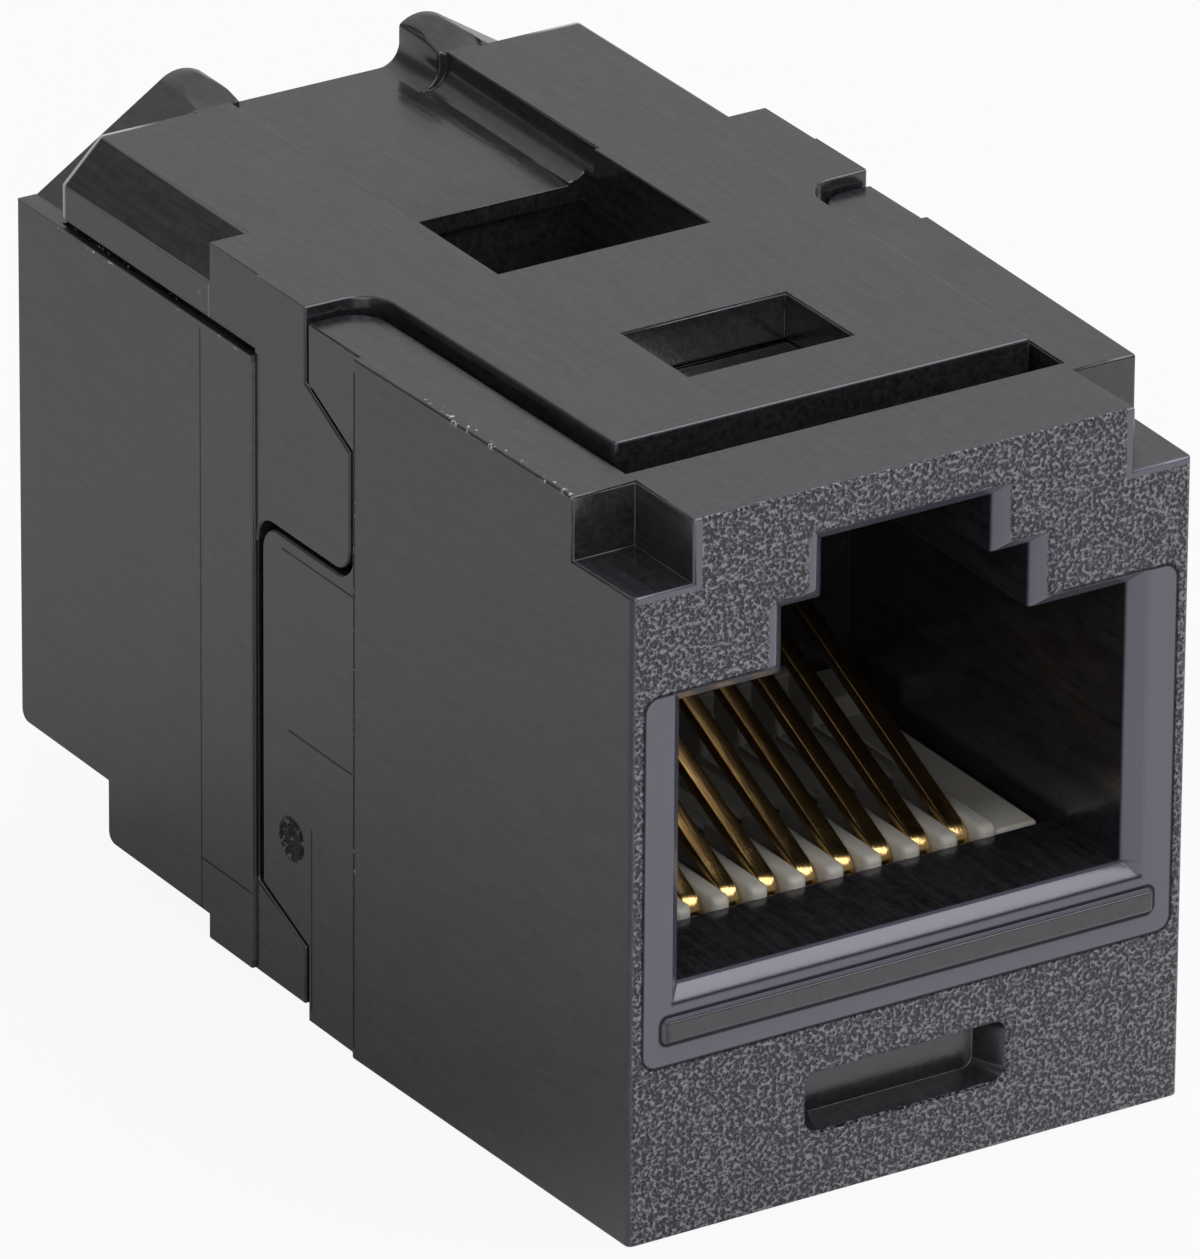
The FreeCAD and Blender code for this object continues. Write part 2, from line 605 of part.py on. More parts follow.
def rear_housing():
    """Rear shell: stepped body, rails, trough, flange, tongue, cheeks and its own socket."""
    body = new_body("rear_housing")
    joint = s.joint_depth + s.seam_gap
    depth = s.overall_depth
    half_rear, half_waist, half_rail = s.rear_width / 2, s.waist_width / 2, s.rail_width / 2
    pad(body, "shell", YZ, -half_rear, half_rear,
        [(joint, s.rear_base), (s.first_step_depth, s.rear_base),
         (s.first_step_depth, s.first_step_height),
         (s.second_step_depth, s.first_step_height),
         (s.second_step_depth, s.second_step_height), (depth, s.second_step_height),
         (depth, s.belt_height), (joint, s.belt_height)])
    pad(body, "block", XY, s.belt_height, s.top_height,
        both_sides([(half_waist, joint), (half_waist, s.panel_line_depth),
                    (half_rail, s.panel_line_depth), (half_rail, s.block_depth)]))
    rail = [(half_rail, s.belt_height), (half_rail, s.rail_wall_top),
            (s.rail_top_width / 2, s.top_height)]
    pad(body, "rails", XZ, s.block_depth, s.rail_end_depth,
        rail + trough_outline(s.trough_width / 2, s.top_height)
        + [(-across, up) for across, up in reversed(rail)])
    flange = [(s.flange_base_width / 2, s.belt_height),
              (s.flange_top_width / 2, s.flange_shoulder_height)]
    pad(body, "flange", XZ, s.rail_end_depth, depth,
        flange + [crest_bend(1)]
        + trough_outline(s.flange_trough_width / 2, s.flange_shoulder_height)
        + [crest_bend(-1)] + [(-across, up) for across, up in reversed(flange)])
    half_flange = s.flange_top_width / 2
    pocket(body, "flange_ramp", YZ, -half_flange, half_flange,
           [(s.rail_end_depth, s.top_height), (depth, s.flange_ramp_top),
            (s.rail_end_depth, s.flange_ramp_top)])
    waist = pocket(body, "waist", XY, s.rear_base, s.belt_height,
                   rectangle(half_waist, half_rear, joint, s.panel_line_depth))
    mirrored(body, waist)
    half_tongue, half_tongue_front = s.tongue_rear_width / 2, s.tongue_front_width / 2
    pad(body, "tongue", XY, s.tongue_base, s.top_height,
        [(-half_tongue_front, s.tongue_front), (half_tongue_front, s.tongue_front),
         (half_tongue, joint), (-half_tongue, joint)])
    cheek_low, cheek_top = s.tab_top + s.seam_gap, s.cheek_top - s.seam_gap / 2
    cheek = pad(body, "cheek", YZ, half_waist - s.side_wall, half_waist,
                [(joint - s.cheek_reach, cheek_low), (joint, cheek_low), (joint, cheek_top),
                 (joint - s.cheek_reach, cheek_top - s.cheek_drop)])
    mirrored(body, cheek)
    tab_end = s.joint_depth + s.tab_reach + s.tab_end_gap
    tab_low = s.tab_bottom - s.seam_gap / 2
    tab_room = pocket(body, "tab_room", YZ, half_waist - s.side_wall - s.slip_gap, half_rear,
                      [(joint, tab_low), (tab_end, tab_low + s.tab_rise),
                       (tab_end, cheek_low), (joint, cheek_low)])
    mirrored(body, tab_room)
    socket(body, depth, -1, s.rear_channel_end)
    chamber_end = depth - s.board_inset + s.board_end_gap
    shelf_start = depth - s.shelf_depth
    half_socket, half_well = s.socket_width / 2, s.well_width / 2
    pocket(body, "chamber", YZ, -half_socket, half_socket,
           [(joint, s.board_base), (chamber_end, s.board_base), (chamber_end, s.shelf_base),
            (shelf_start, s.shelf_base), (shelf_start, s.socket_floor),
            (joint, s.socket_floor)])
    pocket(body, "well", YZ, -half_well, half_well,
           [(joint, s.rear_well_floor), (s.rear_well_end, s.rear_well_floor),
            (s.rear_well_end, s.tail_room_floor), (s.tail_room_end, s.tail_room_floor),
            (s.tail_room_end, s.board_base), (joint, s.board_base)])
    half_window, half_rear_window = s.window_width / 2, s.rear_window_width / 2
    pocket(body, "window", XY, s.tongue_base, s.top_height,
           rectangle(-half_window, half_window, s.window_depth,
                     s.window_depth + s.window_length))
    window_end = s.rear_window_end
    pocket(body, "rear_window", XY, s.shoulder_ceiling, s.top_height,
           rectangle(-half_rear_window, half_rear_window, s.rear_window_depth, window_end))
    pocket(body, "catch_wall", XZ, window_end, window_end + s.catch_recess,
           rectangle(-half_rear_window, half_rear_window, s.shoulder_ceiling, s.plate_base))
    half_floor = s.trough_width / 2 - s.trough_radius
    pocket(body, "trough_ramp", YZ, -half_floor, half_floor,
           [(window_end, s.trough_floor - s.trough_ramp_drop),
            (window_end + s.trough_ramp_length, s.trough_floor), (window_end, s.trough_floor)])
    groove = pocket(body, "belt_groove", XZ, s.panel_line_depth, s.rail_end_depth,
                    rectangle(half_rail - s.belt_groove, half_rail,
                              s.belt_height - s.belt_groove, s.belt_height + s.belt_groove))
    mirrored(body, groove)
    rounded(body, "cheek_corners", "x", s.seam_radius, 2, y=joint - s.cheek_reach, z=cheek_low)
    rounded(body, "tab_room_corners", "x", s.seam_radius, 2, y=tab_end, z=cheek_low)
    rounded(body, "tongue_shoulders", "z", s.shoulder_radius, 2, x=half_tongue, y=joint)
    rounded(body, "step_heel", "x", s.heel_radius, 1, y=s.second_step_depth,
            z=s.first_step_height)
    rounded(body, "rear_heel", "x", s.heel_radius, 1, y=depth, z=s.second_step_height)
    rounded(body, "tongue_corners", "z", s.tongue_corner_radius, 2, x=half_tongue_front,
            y=s.tongue_front)
    return body


def trough_outline(half, top):
    """Trough with rounded lower corners, from its right edge down, across and up to the left."""
    radius, floor = s.trough_radius, s.trough_floor
    low = floor + radius
    return [(half, top), (half, low), Bend(half - radius, low, radius, True),
            (half - radius, floor), (-half + radius, floor),
            Bend(-half + radius, low, radius, True), (-half, low), (-half, top)]


def crest_bend(side):
    """Round top of the rear flange, on the right side (1) or the left side (-1)."""
    half_chord, rise = s.flange_crest_thickness / 2, s.flange_crest_rise
    middle = (s.flange_trough_width / 2 + half_chord) * side
    radius = (half_chord * half_chord / rise + rise) / 2
    return Bend(middle, s.flange_shoulder_height + rise - radius, radius, False)


def circuit_board():
    """Board that crosses the wiring over between the sockets, with tail slots and peg holes."""
    body = new_body("circuit_board")
    half, top = s.board_width / 2, s.board_top
    front, rear = s.board_inset, s.overall_depth - s.board_inset
    pad(body, "board", XY, s.board_base, top, rectangle(-half, half, front, rear))
    first = -s.contact_pitch * ((CONTACT_COUNT - 1) / 2)
    half_slot = s.tail_slot_width / 2
    rows = {"front": (s.tail_slot_front, s.tail_slot_rear),
            "rear": (s.overall_depth - s.tail_slot_rear, s.overall_depth - s.tail_slot_front)}
    for end, (near, far) in rows.items():
        slot = pocket(body, f"{end}_tail_slot", XY, s.board_base, top,
                      rectangle(first - half_slot, first + half_slot, near, far))
        repeated(body, slot, CONTACT_COUNT, s.contact_pitch)
    for end, along in (("front", s.peg_depth), ("rear", s.overall_depth - s.peg_depth)):
        hole = pocket(body, f"{end}_peg_hole", XY, s.board_base, top,
                      Disc(s.peg_spacing / 2, along, s.peg_radius + s.peg_gap))
        mirrored(body, hole)
    return body


def contact_carrier(label, turned):
    """Comb that the contacts bend round, with a tooth between each pair and a rear comb wall."""
    body = new_body(label, turned)
    base = s.board_top
    nose = s.bend_inner_radius - s.nose_gap
    half, half_groove = s.carrier_width / 2, s.groove_width / 2
    comb_height, comb_low_height = s.socket_floor + s.comb_rise, s.socket_floor + s.comb_low_rise
    bend, nose_face, nose_top = s.bend_depth, s.bend_depth - nose, s.bend_height + nose
    pad(body, "nose", YZ, -half, half,
        [(nose_face, base), (nose_face, s.bend_height),
         Bend(bend, s.bend_height, nose, True), (bend, nose_top),
         (bend + nose, nose_top), (bend + nose, s.groove_floor),
         (s.carrier_rear, s.groove_floor), (s.carrier_rear, base)])
    pad(body, "web", YZ, -half_groove, half_groove,
        rectangle(s.web_front, s.carrier_rear, s.groove_floor, comb_height))
    side = pad(body, "side", YZ, half_groove, half,
               [(s.carrier_front, base), (s.carrier_rear, base),
                (s.carrier_rear, comb_low_height), (s.comb_depth, comb_low_height),
                (s.comb_depth, s.socket_floor), (s.carrier_front, s.socket_floor)])
    mirrored(body, side)
    half_tooth = s.tooth_width / 2
    first = -s.contact_pitch * (CONTACT_COUNT / 2)
    tooth = pad(body, "tooth", YZ, first - half_tooth, first + half_tooth,
                [(s.carrier_front, base), (s.carrier_rear, base),
                 (s.carrier_rear, comb_height), (s.comb_depth, comb_height),
                 (s.comb_depth, s.socket_floor), (s.carrier_front, s.socket_floor)])
    repeated(body, tooth, CONTACT_COUNT + 1, s.contact_pitch)
    peg = pad(body, "peg", XY, base - s.peg_length, base,
              Disc(s.peg_spacing / 2, s.peg_depth, s.peg_radius))
    mirrored(body, peg)
    return body


def contact(label, index, turned):
    """Spring contact: a tail up through the board, a bend over the nose and a rising arm."""
    body = new_body(label, turned)
    across = s.contact_pitch * (index - (CONTACT_COUNT + 1) / 2)
    bind(body, "Placement.Base.x", -across if turned else across)
    inner, outer = s.bend_inner_radius, s.bend_inner_radius + s.strip_thickness
    lift, run = sine(s.arm_angle), cosine(s.arm_angle)
    bend, height = s.bend_depth, s.bend_height

    def leaves(radius):
        """Where a face of the strip leaves the bend for the arm."""
        return bend - lift * radius, height + run * radius

    def arm_end(radius):
        along, up = leaves(radius)
        return along + run * s.arm_length, up + lift * s.arm_length

    pad(body, "strip", YZ, -s.strip_width / 2, s.strip_width / 2,
        [(bend - outer, s.tail_end), (bend - outer, height),
         Bend(bend, height, outer, True), leaves(outer), arm_end(outer), arm_end(inner),
         leaves(inner), Bend(bend, height, inner, False), (bend - inner, height),
         (bend - inner, s.tail_end)])
    return body


def check_and_write(bodies):
    """Stops on a failed object or a wrong solid; otherwise writes one file for each piece."""
    doc.recompute()
    for item in doc.Objects:
        if "Invalid" in item.State or "Error" in item.State:
            raise ValueError(f"{item.Label} failed: {item.State}")
    os.makedirs("parts", exist_ok=True)
    for body in bodies:
        shape = body.Shape
        if shape.isNull() or not shape.isValid() or len(shape.Solids) != 1:
            raise ValueError(f"{body.Label} isn't one valid solid")
        shape.exportStep(os.path.join("parts", body.Label + ".step"))
        box = shape.BoundBox
        print(f"{body.Label:24s} {shape.Volume:9.3f} mm3  x {box.XMin:.2f} to {box.XMax:.2f}  "
              f"y {box.YMin:.2f} to {box.YMax:.2f}  z {box.ZMin:.2f} to {box.ZMax:.2f}")


pieces = [front_housing(), rear_housing(), circuit_board(),
          contact_carrier("front_contact_carrier", False),
          contact_carrier("rear_contact_carrier", True)]
for end, is_turned in (("front", False), ("rear", True)):
    for place in range(1, CONTACT_COUNT + 1):
        pieces.append(contact(f"{end}_contact_{place}", place, is_turned))
check_and_write(pieces)
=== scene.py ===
"""Looks of an ethernet keystone coupler: two moulded housing halves, combs, gilt contacts, board.

All sizes in the classes are millimetres in the row frame: x across, y from the front socket to
the rear one, z up. The front face lies at FACE and the rear face at REAR, with MIDDLE between
them. CREST is just in front of the rib under the mouth.
"""

import logging
import math
from dataclasses import dataclass
from enum import Enum

import bmesh
import bpy
import numpy as np
from mathutils import Matrix, Vector


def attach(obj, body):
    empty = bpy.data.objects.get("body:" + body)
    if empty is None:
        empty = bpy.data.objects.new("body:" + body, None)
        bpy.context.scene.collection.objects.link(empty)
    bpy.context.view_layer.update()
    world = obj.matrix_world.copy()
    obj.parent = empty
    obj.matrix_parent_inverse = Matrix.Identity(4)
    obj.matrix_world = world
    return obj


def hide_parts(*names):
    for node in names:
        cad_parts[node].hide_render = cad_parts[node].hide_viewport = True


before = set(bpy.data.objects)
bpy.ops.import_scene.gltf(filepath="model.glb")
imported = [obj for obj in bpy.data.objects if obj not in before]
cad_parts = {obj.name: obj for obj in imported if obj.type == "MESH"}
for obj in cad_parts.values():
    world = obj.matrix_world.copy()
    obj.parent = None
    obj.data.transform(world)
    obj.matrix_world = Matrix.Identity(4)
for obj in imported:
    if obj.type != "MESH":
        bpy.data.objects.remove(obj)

MM = 0.001
FACE = -13.015
REAR = 13.185
CREST = FACE - 0.2
MIDDLE = (FACE + REAR) / 2
CONTACTS = 8
PITCH = 1.016
HOUSING = "housing"
Triple = tuple[float, float, float]
Colour = Triple
log = logging.getLogger("coupler")


class End(Enum):
    """The two ends of the coupler; the value is what the names of their pieces start with."""

    FRONT = "front"
    REAR = "rear"

    def placed(self, points: np.ndarray) -> np.ndarray:
        """Puts what was laid out for the front socket in this end's socket.

        Args:
            points: Positions in millimetres, shape (..., 3).

        Returns:
            The same in front; at the rear, half a turn about z away.
        """
        if self is End.FRONT:
            return points
        return points * np.array([-1.0, -1.0, 1.0]) + np.array([0.0, 2 * MIDDLE, 0.0])


class Wire:
    """One number in a material's node tree; arithmetic on it adds Math nodes."""

    def __init__(self, tree: bpy.types.NodeTree, socket: bpy.types.NodeSocket) -> None:
        """Holds a socket of a tree.

        Args:
            tree: The node tree that new nodes go into.
            socket: The output that carries the number.
        """
        self.tree, self.socket = tree, socket

    def _math(self, operation: str, *others: "Wire | float") -> "Wire":
        """Adds one Math node.

        Args:
            operation: Its operation.
            others: The inputs after this one.

        Returns:
            The node's result.
        """
        node = self.tree.nodes.new("ShaderNodeMath")
        node.operation = operation
        for slot, value in enumerate((self, *others)):
            if isinstance(value, Wire):
                self.tree.links.new(value.socket, node.inputs[slot])
            else:
                node.inputs[slot].default_value = value
        return Wire(self.tree, node.outputs[0])

    def __add__(self, other: "Wire | float") -> "Wire":
        """Sum."""
        return self._math("ADD", other)

    def __sub__(self, other: "Wire | float") -> "Wire":
        """Difference."""
        return self._math("SUBTRACT", other)

    def __mul__(self, other: "Wire | float") -> "Wire":
        """Product."""
        return self._math("MULTIPLY", other)

    def size(self) -> "Wire":
        """Value without its sign."""
        return self._math("ABSOLUTE")

    def lowest(self, other: "Wire | float") -> "Wire":
        """Smaller of two."""
        return self._math("MINIMUM", other)

    def highest(self, other: "Wire | float") -> "Wire":
        """Larger of two."""
        return self._math("MAXIMUM", other)

    def root(self) -> "Wire":
        """Square root."""
        return self._math("SQRT")

    def between(self, low: float, high: float, soft: float = 0.03) -> "Wire":
        """Band with soft ends.

        Args:
            low: Where the band starts.
            high: Where it ends.
            soft: Half the width of each end.

        Returns:
            1 inside the band and 0 outside.
        """
        return self.step(low - soft, low + soft) * self.step(high + soft, high - soft)

    def near(self, place: float, reach: float) -> "Wire":
        """Thin line.

        Args:
            place: The line's middle.
            reach: Distance at which it has faded out.

        Returns:
            1 on the line and 0 away from it.
        """
        return (self - place).size().step(reach, reach * 0.3)

    def step(self, low: float, high: float) -> "Wire":
        """Smooth rise from 0 at low to 1 at high; a fall where low is above high.

        Args:
            low: Where it is 0.
            high: Where it is 1.

        Returns:
            The stepped value.
        """
        node = self.tree.nodes.new("ShaderNodeMapRange")
        node.interpolation_type = "SMOOTHSTEP"
        self.tree.links.new(self.socket, node.inputs["Value"])
        node.inputs["From Min"].default_value = min(low, high)
        node.inputs["From Max"].default_value = max(low, high)
        node.inputs["To Min"].default_value = 0.0 if low < high else 1.0
        node.inputs["To Max"].default_value = 1.0 if low < high else 0.0
        return Wire(self.tree, node.outputs["Result"])


@dataclass(frozen=True)
class Noise:
    """Fractal noise.

    Attributes:
        per_mm: Features per millimetre.
        detail: Octaves.
        rough: Weight of the finer octaves.
        stretch: Scale along x, y and z; a small value draws the pattern out.
    """

    per_mm: float
    detail: float = 2.0
    rough: float = 0.5
    stretch: Triple = (1.0, 1.0, 1.0)


@dataclass(frozen=True)
class Outline:
    """Upright rectangle with round corners, seen along y.

    Attributes:
        half: Half its width.
        low: Its lower edge.
        high: Its upper edge.
        radius: Its corners' radius.
        shift: x of its middle.
    """

    half: float
    low: float
    high: float
    radius: float = 0.1
    shift: float = 0.0


class Pattern:
    """A material's node tree with the piece's own coordinates in millimetres."""

    def __init__(self, name: str) -> None:
        """Makes a material whose nodes start from Object coordinates.

        Args:
            name: The material's name.
        """
        self.material = bpy.data.materials.new(name)
        self.material.use_nodes = True
        self.tree = self.material.node_tree
        self.shader = self.tree.nodes["Principled BSDF"]
        place = self.tree.nodes.new("ShaderNodeTexCoord")
        scale = self.tree.nodes.new("ShaderNodeVectorMath")
        scale.operation = "SCALE"
        scale.inputs["Scale"].default_value = 1.0 / MM
        self.tree.links.new(place.outputs["Object"], scale.inputs[0])
        self.place = scale.outputs["Vector"]
        split = self.tree.nodes.new("ShaderNodeSeparateXYZ")
        self.tree.links.new(self.place, split.inputs[0])
        self.x, self.y, self.z = (Wire(self.tree, out) for out in split.outputs)

    def noise(self, noise: Noise) -> Wire:
        """Adds a noise.

        Args:
            noise: Its features.

        Returns:
            The noise, about 0.5 on average.
        """
        mapping = self.tree.nodes.new("ShaderNodeMapping")
        mapping.inputs["Scale"].default_value = noise.stretch
        self.tree.links.new(self.place, mapping.inputs["Vector"])
        node = self.tree.nodes.new("ShaderNodeTexNoise")
        node.inputs["Scale"].default_value = noise.per_mm
        node.inputs["Detail"].default_value = noise.detail
        node.inputs["Roughness"].default_value = noise.rough
        self.tree.links.new(mapping.outputs["Vector"], node.inputs["Vector"])
        return Wire(self.tree, node.outputs[0])

    def distance(self, outline: Outline) -> Wire:
        """Distance to an outline, seen along y.

        Args:
            outline: The outline.

        Returns:
            The distance outside it; minus its radius well inside.
        """
        middle = (outline.low + outline.high) / 2
        tall = (outline.high - outline.low) / 2 - outline.radius
        wide = outline.half - outline.radius
        beside = ((self.x - outline.shift).size() - wide).highest(0.0)
        above = ((self.z - middle).size() - tall).highest(0.0)
        return (beside * beside + above * above).root() - outline.radius

    def blend(self, amount: Wire, low: "Colour | bpy.types.NodeSocket",
              high: Colour) -> bpy.types.NodeSocket:
        """Colour between two.

        Args:
            amount: 0 for the first colour, 1 for the second.
            low: First colour, or the socket that carries it.
            high: Second colour.

        Returns:
            The colour's socket.
        """
        node = self.tree.nodes.new("ShaderNodeMix")
        node.data_type = "RGBA"
        self.tree.links.new(amount.socket, node.inputs["Factor"])
        under, over = (item for item in node.inputs if item.type == "RGBA")
        if isinstance(low, bpy.types.NodeSocket):
            self.tree.links.new(low, under)
        else:
            under.default_value = (*low, 1.0)
        over.default_value = (*high, 1.0)
        return next(item for item in node.outputs if item.type == "RGBA")

    def relief(self, height: Wire, depth: float, where: Wire | None = None) -> None:
        """Bumps the surface, on top of any bumps that it has.

        A height is worked out three times at each point, and where it shows only once.

        Args:
            height: 0 at the lowest and 1 at the highest.
            depth: Millimetres between them.
            where: 1 where it shows and 0 where it doesn't; everywhere if not given.
        """
        node = self.tree.nodes.new("ShaderNodeBump")
        node.inputs["Strength"].default_value = 1.0
        if where is not None:
            self.tree.links.new(where.socket, node.inputs["Strength"])
        for link in self.shader.inputs["Normal"].links:
            self.tree.links.new(link.from_socket, node.inputs["Normal"])
        node.inputs["Distance"].default_value = depth * MM
        self.tree.links.new(height.socket, node.inputs["Height"])
        self.tree.links.new(node.outputs["Normal"], self.shader.inputs["Normal"])

    def set(self, name: str, value: "Wire | bpy.types.NodeSocket | float | Colour") -> None:
        """Sets or links an input of the shader.

        Args:
            name: The input.
            value: A number or colour that is the same all over, or a socket that varies.
        """
        slot = self.shader.inputs[name]
        if isinstance(value, Wire):
            self.tree.links.new(value.socket, slot)
        elif isinstance(value, bpy.types.NodeSocket):
            self.tree.links.new(value, slot)
        else:
            slot.default_value = (*value, 1.0) if isinstance(value, tuple) else value


@dataclass(frozen=True)
class Score:
    """Faint line along the sides, where inserts of the tool met or where an edge is rubbed;
    also a painted glint along a step.

    Attributes:
        axis: "y" for an upright line at one y, "z" for a level one at one z.
        place: Where it lies on that axis.
        low: Where it starts along the other axis.
        high: Where it ends.
        reach: Distance from its middle at which it has faded out.
    """

    axis: str
    place: float
    low: float
    high: float
    reach: float = 0.045

    def drawn(self, pattern: Pattern) -> Wire:
        """Draws the line in a material.

        Args:
            pattern: The material under way.

        Returns:
            1 on the line.
        """
        across, along = ((pattern.y, pattern.z) if self.axis == "y"
                         else (pattern.z, pattern.y))
        return across.near(self.place, self.reach) * along.between(self.low, self.high)


@dataclass
class Masks:
    """Where the marks of a moulding show: 1 there and 0 elsewhere.

    Attributes:
        dark_lines_and_shade: Dark lines, and painted shade lines along edges.
        wear_and_glints: Rubbed pale, and painted glints along steps and edges.
        satin: Painted sheen, lighter on the front face and the mouth's bevel.
        coarse: Eroded texture.
        crown: Height of a crowned face, as a share of the grain's depth.
    """

    dark_lines_and_shade: Wire
    wear_and_glints: Wire
    satin: Wire
    coarse: Wire
    crown: Wire


@dataclass(frozen=True)
class Finish:
    """A material; each kind paints its own."""

    name: str

    def paint(self, pattern: Pattern) -> None:
        """Sets the shader's inputs.

        Args:
            pattern: The material under way.
        """

    def material(self) -> bpy.types.Material:
        """Builds the material.

        Returns:
            The material.
        """
        pattern = Pattern(self.name)
        self.paint(pattern)
        return pattern.material


@dataclass(frozen=True)
class BlackMoulding(Finish):
    """Black engineering plastic: polished sides with faint tool lines and haze.

    Attributes:
        scores: Its tool lines.
        gloss: Tint of what it reflects.
        line_and_shade_colour: Dark lines' colour, and painted shade in the eroded texture's pits.
        raised: Painted highlight on the crests of that texture.
        tones: Lowest and highest share of the mean colour.
        tone_weights: Shares of the haze, the mottle and the streaks in the tone.
        side: Distance from the middle plane beyond which marks of the sides show.
        dulling: How far lines and pits lower the specular level.
        roughness: Of a polished face; then what haze, drawn marks, eroded face, and wear with
        painted glints add.
        drawn_depth: Depth of the drawn marks, as a share of the grain's depth.
    """

    scores: tuple[Score, ...]
    colour: Colour = (0.018, 0.0175, 0.0205)
    gloss: Colour = (0.965, 0.945, 1.0)
    # Lighter, bluish colour of the front face: painted sheen for the bright floor that it
    # reflects.
    satin: Colour = (0.096, 0.096, 0.130)
    # Colour of the dark lines, and painted shade in the pits and along edges.
    line_and_shade_colour: Colour = (0.004, 0.004, 0.005)
    # Painted highlight: pale colour on the eroded texture's crests.
    raised: Colour = (0.225, 0.224, 0.252)
    pale_wear_and_glint: Colour = (0.52, 0.51, 0.50)
    tones: tuple[float, float] = (0.3, 1.8)
    tone_weights: Triple = (0.3, 0.35, 0.35)
    side: float = 7.2
    line_shade: float = 0.85
    dulling: tuple[float, float] = (0.4, 0.12)
    roughness: tuple[float, ...] = (0.10, 0.10, 0.09, 0.2, 0.3)
    refraction: float = 1.75
    drawn_depth: float = 0.024
    grain_depth: float = 0.11
    grain: Noise = Noise(10.0, 1.0, 0.55)
    haze: Noise = Noise(0.3, 2.0, 0.6)
    mottle: Noise = Noise(4.0, 2.0, 0.7)
    drawing: Noise = Noise(9.0, 1.0, 0.5, (1.0, 0.06, 1.0))
    streaks: Noise = Noise(7.0, 1.0, 0.6, (1.0, 0.08, 1.0))
    specks: Noise = Noise(4.5, 2.0, 0.7)
    rubbed_seam: Score = Score("z", 15.70, 2.8, 11.3, 0.05)
    # Painted glints: along the hollow corner at the block's rear and along the rear step's face.
    step_glint: Score = Score("y", 4.84, 15.85, 16.7, 0.05)
    rim_glint: Score = Score("y", 2.74, 0.6, 15.6, 0.05)

    def _on_sides(self, pattern: Pattern) -> Wire:
        """1 on the outer sides and 0 elsewhere."""
        return pattern.x.size().step(self.side - 0.1, self.side)

    def _scored(self, pattern: Pattern) -> Wire:
        """1 on the tool lines of the sides and 0 elsewhere."""
        lines = pattern.x * 0.0
        for score in self.scores:
            lines = lines.highest(score.drawn(pattern))
        return lines * self._on_sides(pattern)

    def masks(self, pattern: Pattern) -> Masks:
        """Marks of a plain moulding: tool lines, wear on the seam and painted glints on edges.

        Args:
            pattern: The material under way.

        Returns:
            The masks.
        """
        specks = pattern.noise(self.specks).step(0.62, 0.67)
        # Painted glints on the rails' rear ends and on the trough plate's lower edge.
        rail_end_glint = pattern.y.near(11.32, 0.12) * pattern.z.step(15.8, 16.0)
        rail_end_glint = rail_end_glint * pattern.x.size().step(4.8, 5.9)
        plate_edge_glint = pattern.y.near(5.26, 0.1) * pattern.z.near(16.33, 0.05) * 0.3
        seam = self.rubbed_seam.drawn(pattern) * specks
        # Painted light lines along the two steps.
        step = self.step_glint.drawn(pattern) * 0.25
        rim = self.rim_glint.drawn(pattern) * 0.1
        on_side = seam.highest(step).highest(rim) * self._on_sides(pattern)
        wear_and_glints = on_side.highest(rail_end_glint).highest(plate_edge_glint)
        nowhere = pattern.x * 0.0
        return Masks(self._scored(pattern), wear_and_glints, nowhere, nowhere, nowhere)

    def paint(self, pattern: Pattern) -> None:
        """Sets the shader's inputs, as in Finish."""
        masks = self.masks(pattern)
        # chips carries pale wear, and on a plain moulding painted glints.
        lines_and_shade, coarse, chips = masks.dark_lines_and_shade, masks.coarse, masks.wear_and_glints
        grain = pattern.noise(self.grain).step(0.36, 0.64)
        haze, drawn = pattern.noise(self.haze), pattern.noise(self.drawing)
        mottle = pattern.noise(self.mottle).step(0.3, 0.7)
        streaks = pattern.noise(self.streaks).step(0.3, 0.7)
        # The pits get painted shade and the crests a painted highlight.
        pits, crests = coarse * grain.step(0.5, 0.0), coarse * grain.step(0.5, 1.0)
        hazy, mottled, streaked = self.tone_weights
        tone = haze * hazy + mottle * mottled + streaks * streaked
        base = pattern.blend(tone, *(tuple(part * share for part in self.colour)
                                     for share in self.tones))
        # Layered on the tone: painted sheen on the front, painted shade in pits, painted
        # highlights on crests, dark lines with painted shade lines, then wear and painted glints.
        for amount, colour in ((masks.satin, self.satin), (pits, self.line_and_shade_colour),
                               (crests, self.raised), (lines_and_shade * self.line_shade, self.line_and_shade_colour),
                               (chips, self.pale_wear_and_glint)):
            base = pattern.blend(amount, base, colour)
        pattern.set("Base Color", base)
        line, pit = self.dulling
        pattern.set("Specular IOR Level", lines_and_shade * -line + pits * -pit + 0.5)
        polished, *added = self.roughness
        rough = haze * added[0] + polished
        for amount, share in zip((drawn, coarse, chips), added[1:]):
            rough = rough + amount * share
        pattern.set("Roughness", rough)
        pattern.set("IOR", self.refraction)
        pattern.set("Specular Tint", self.gloss)
        pattern.relief(drawn * self.drawn_depth + masks.crown, self.grain_depth)
        pattern.relief(grain, self.grain_depth, coarse)


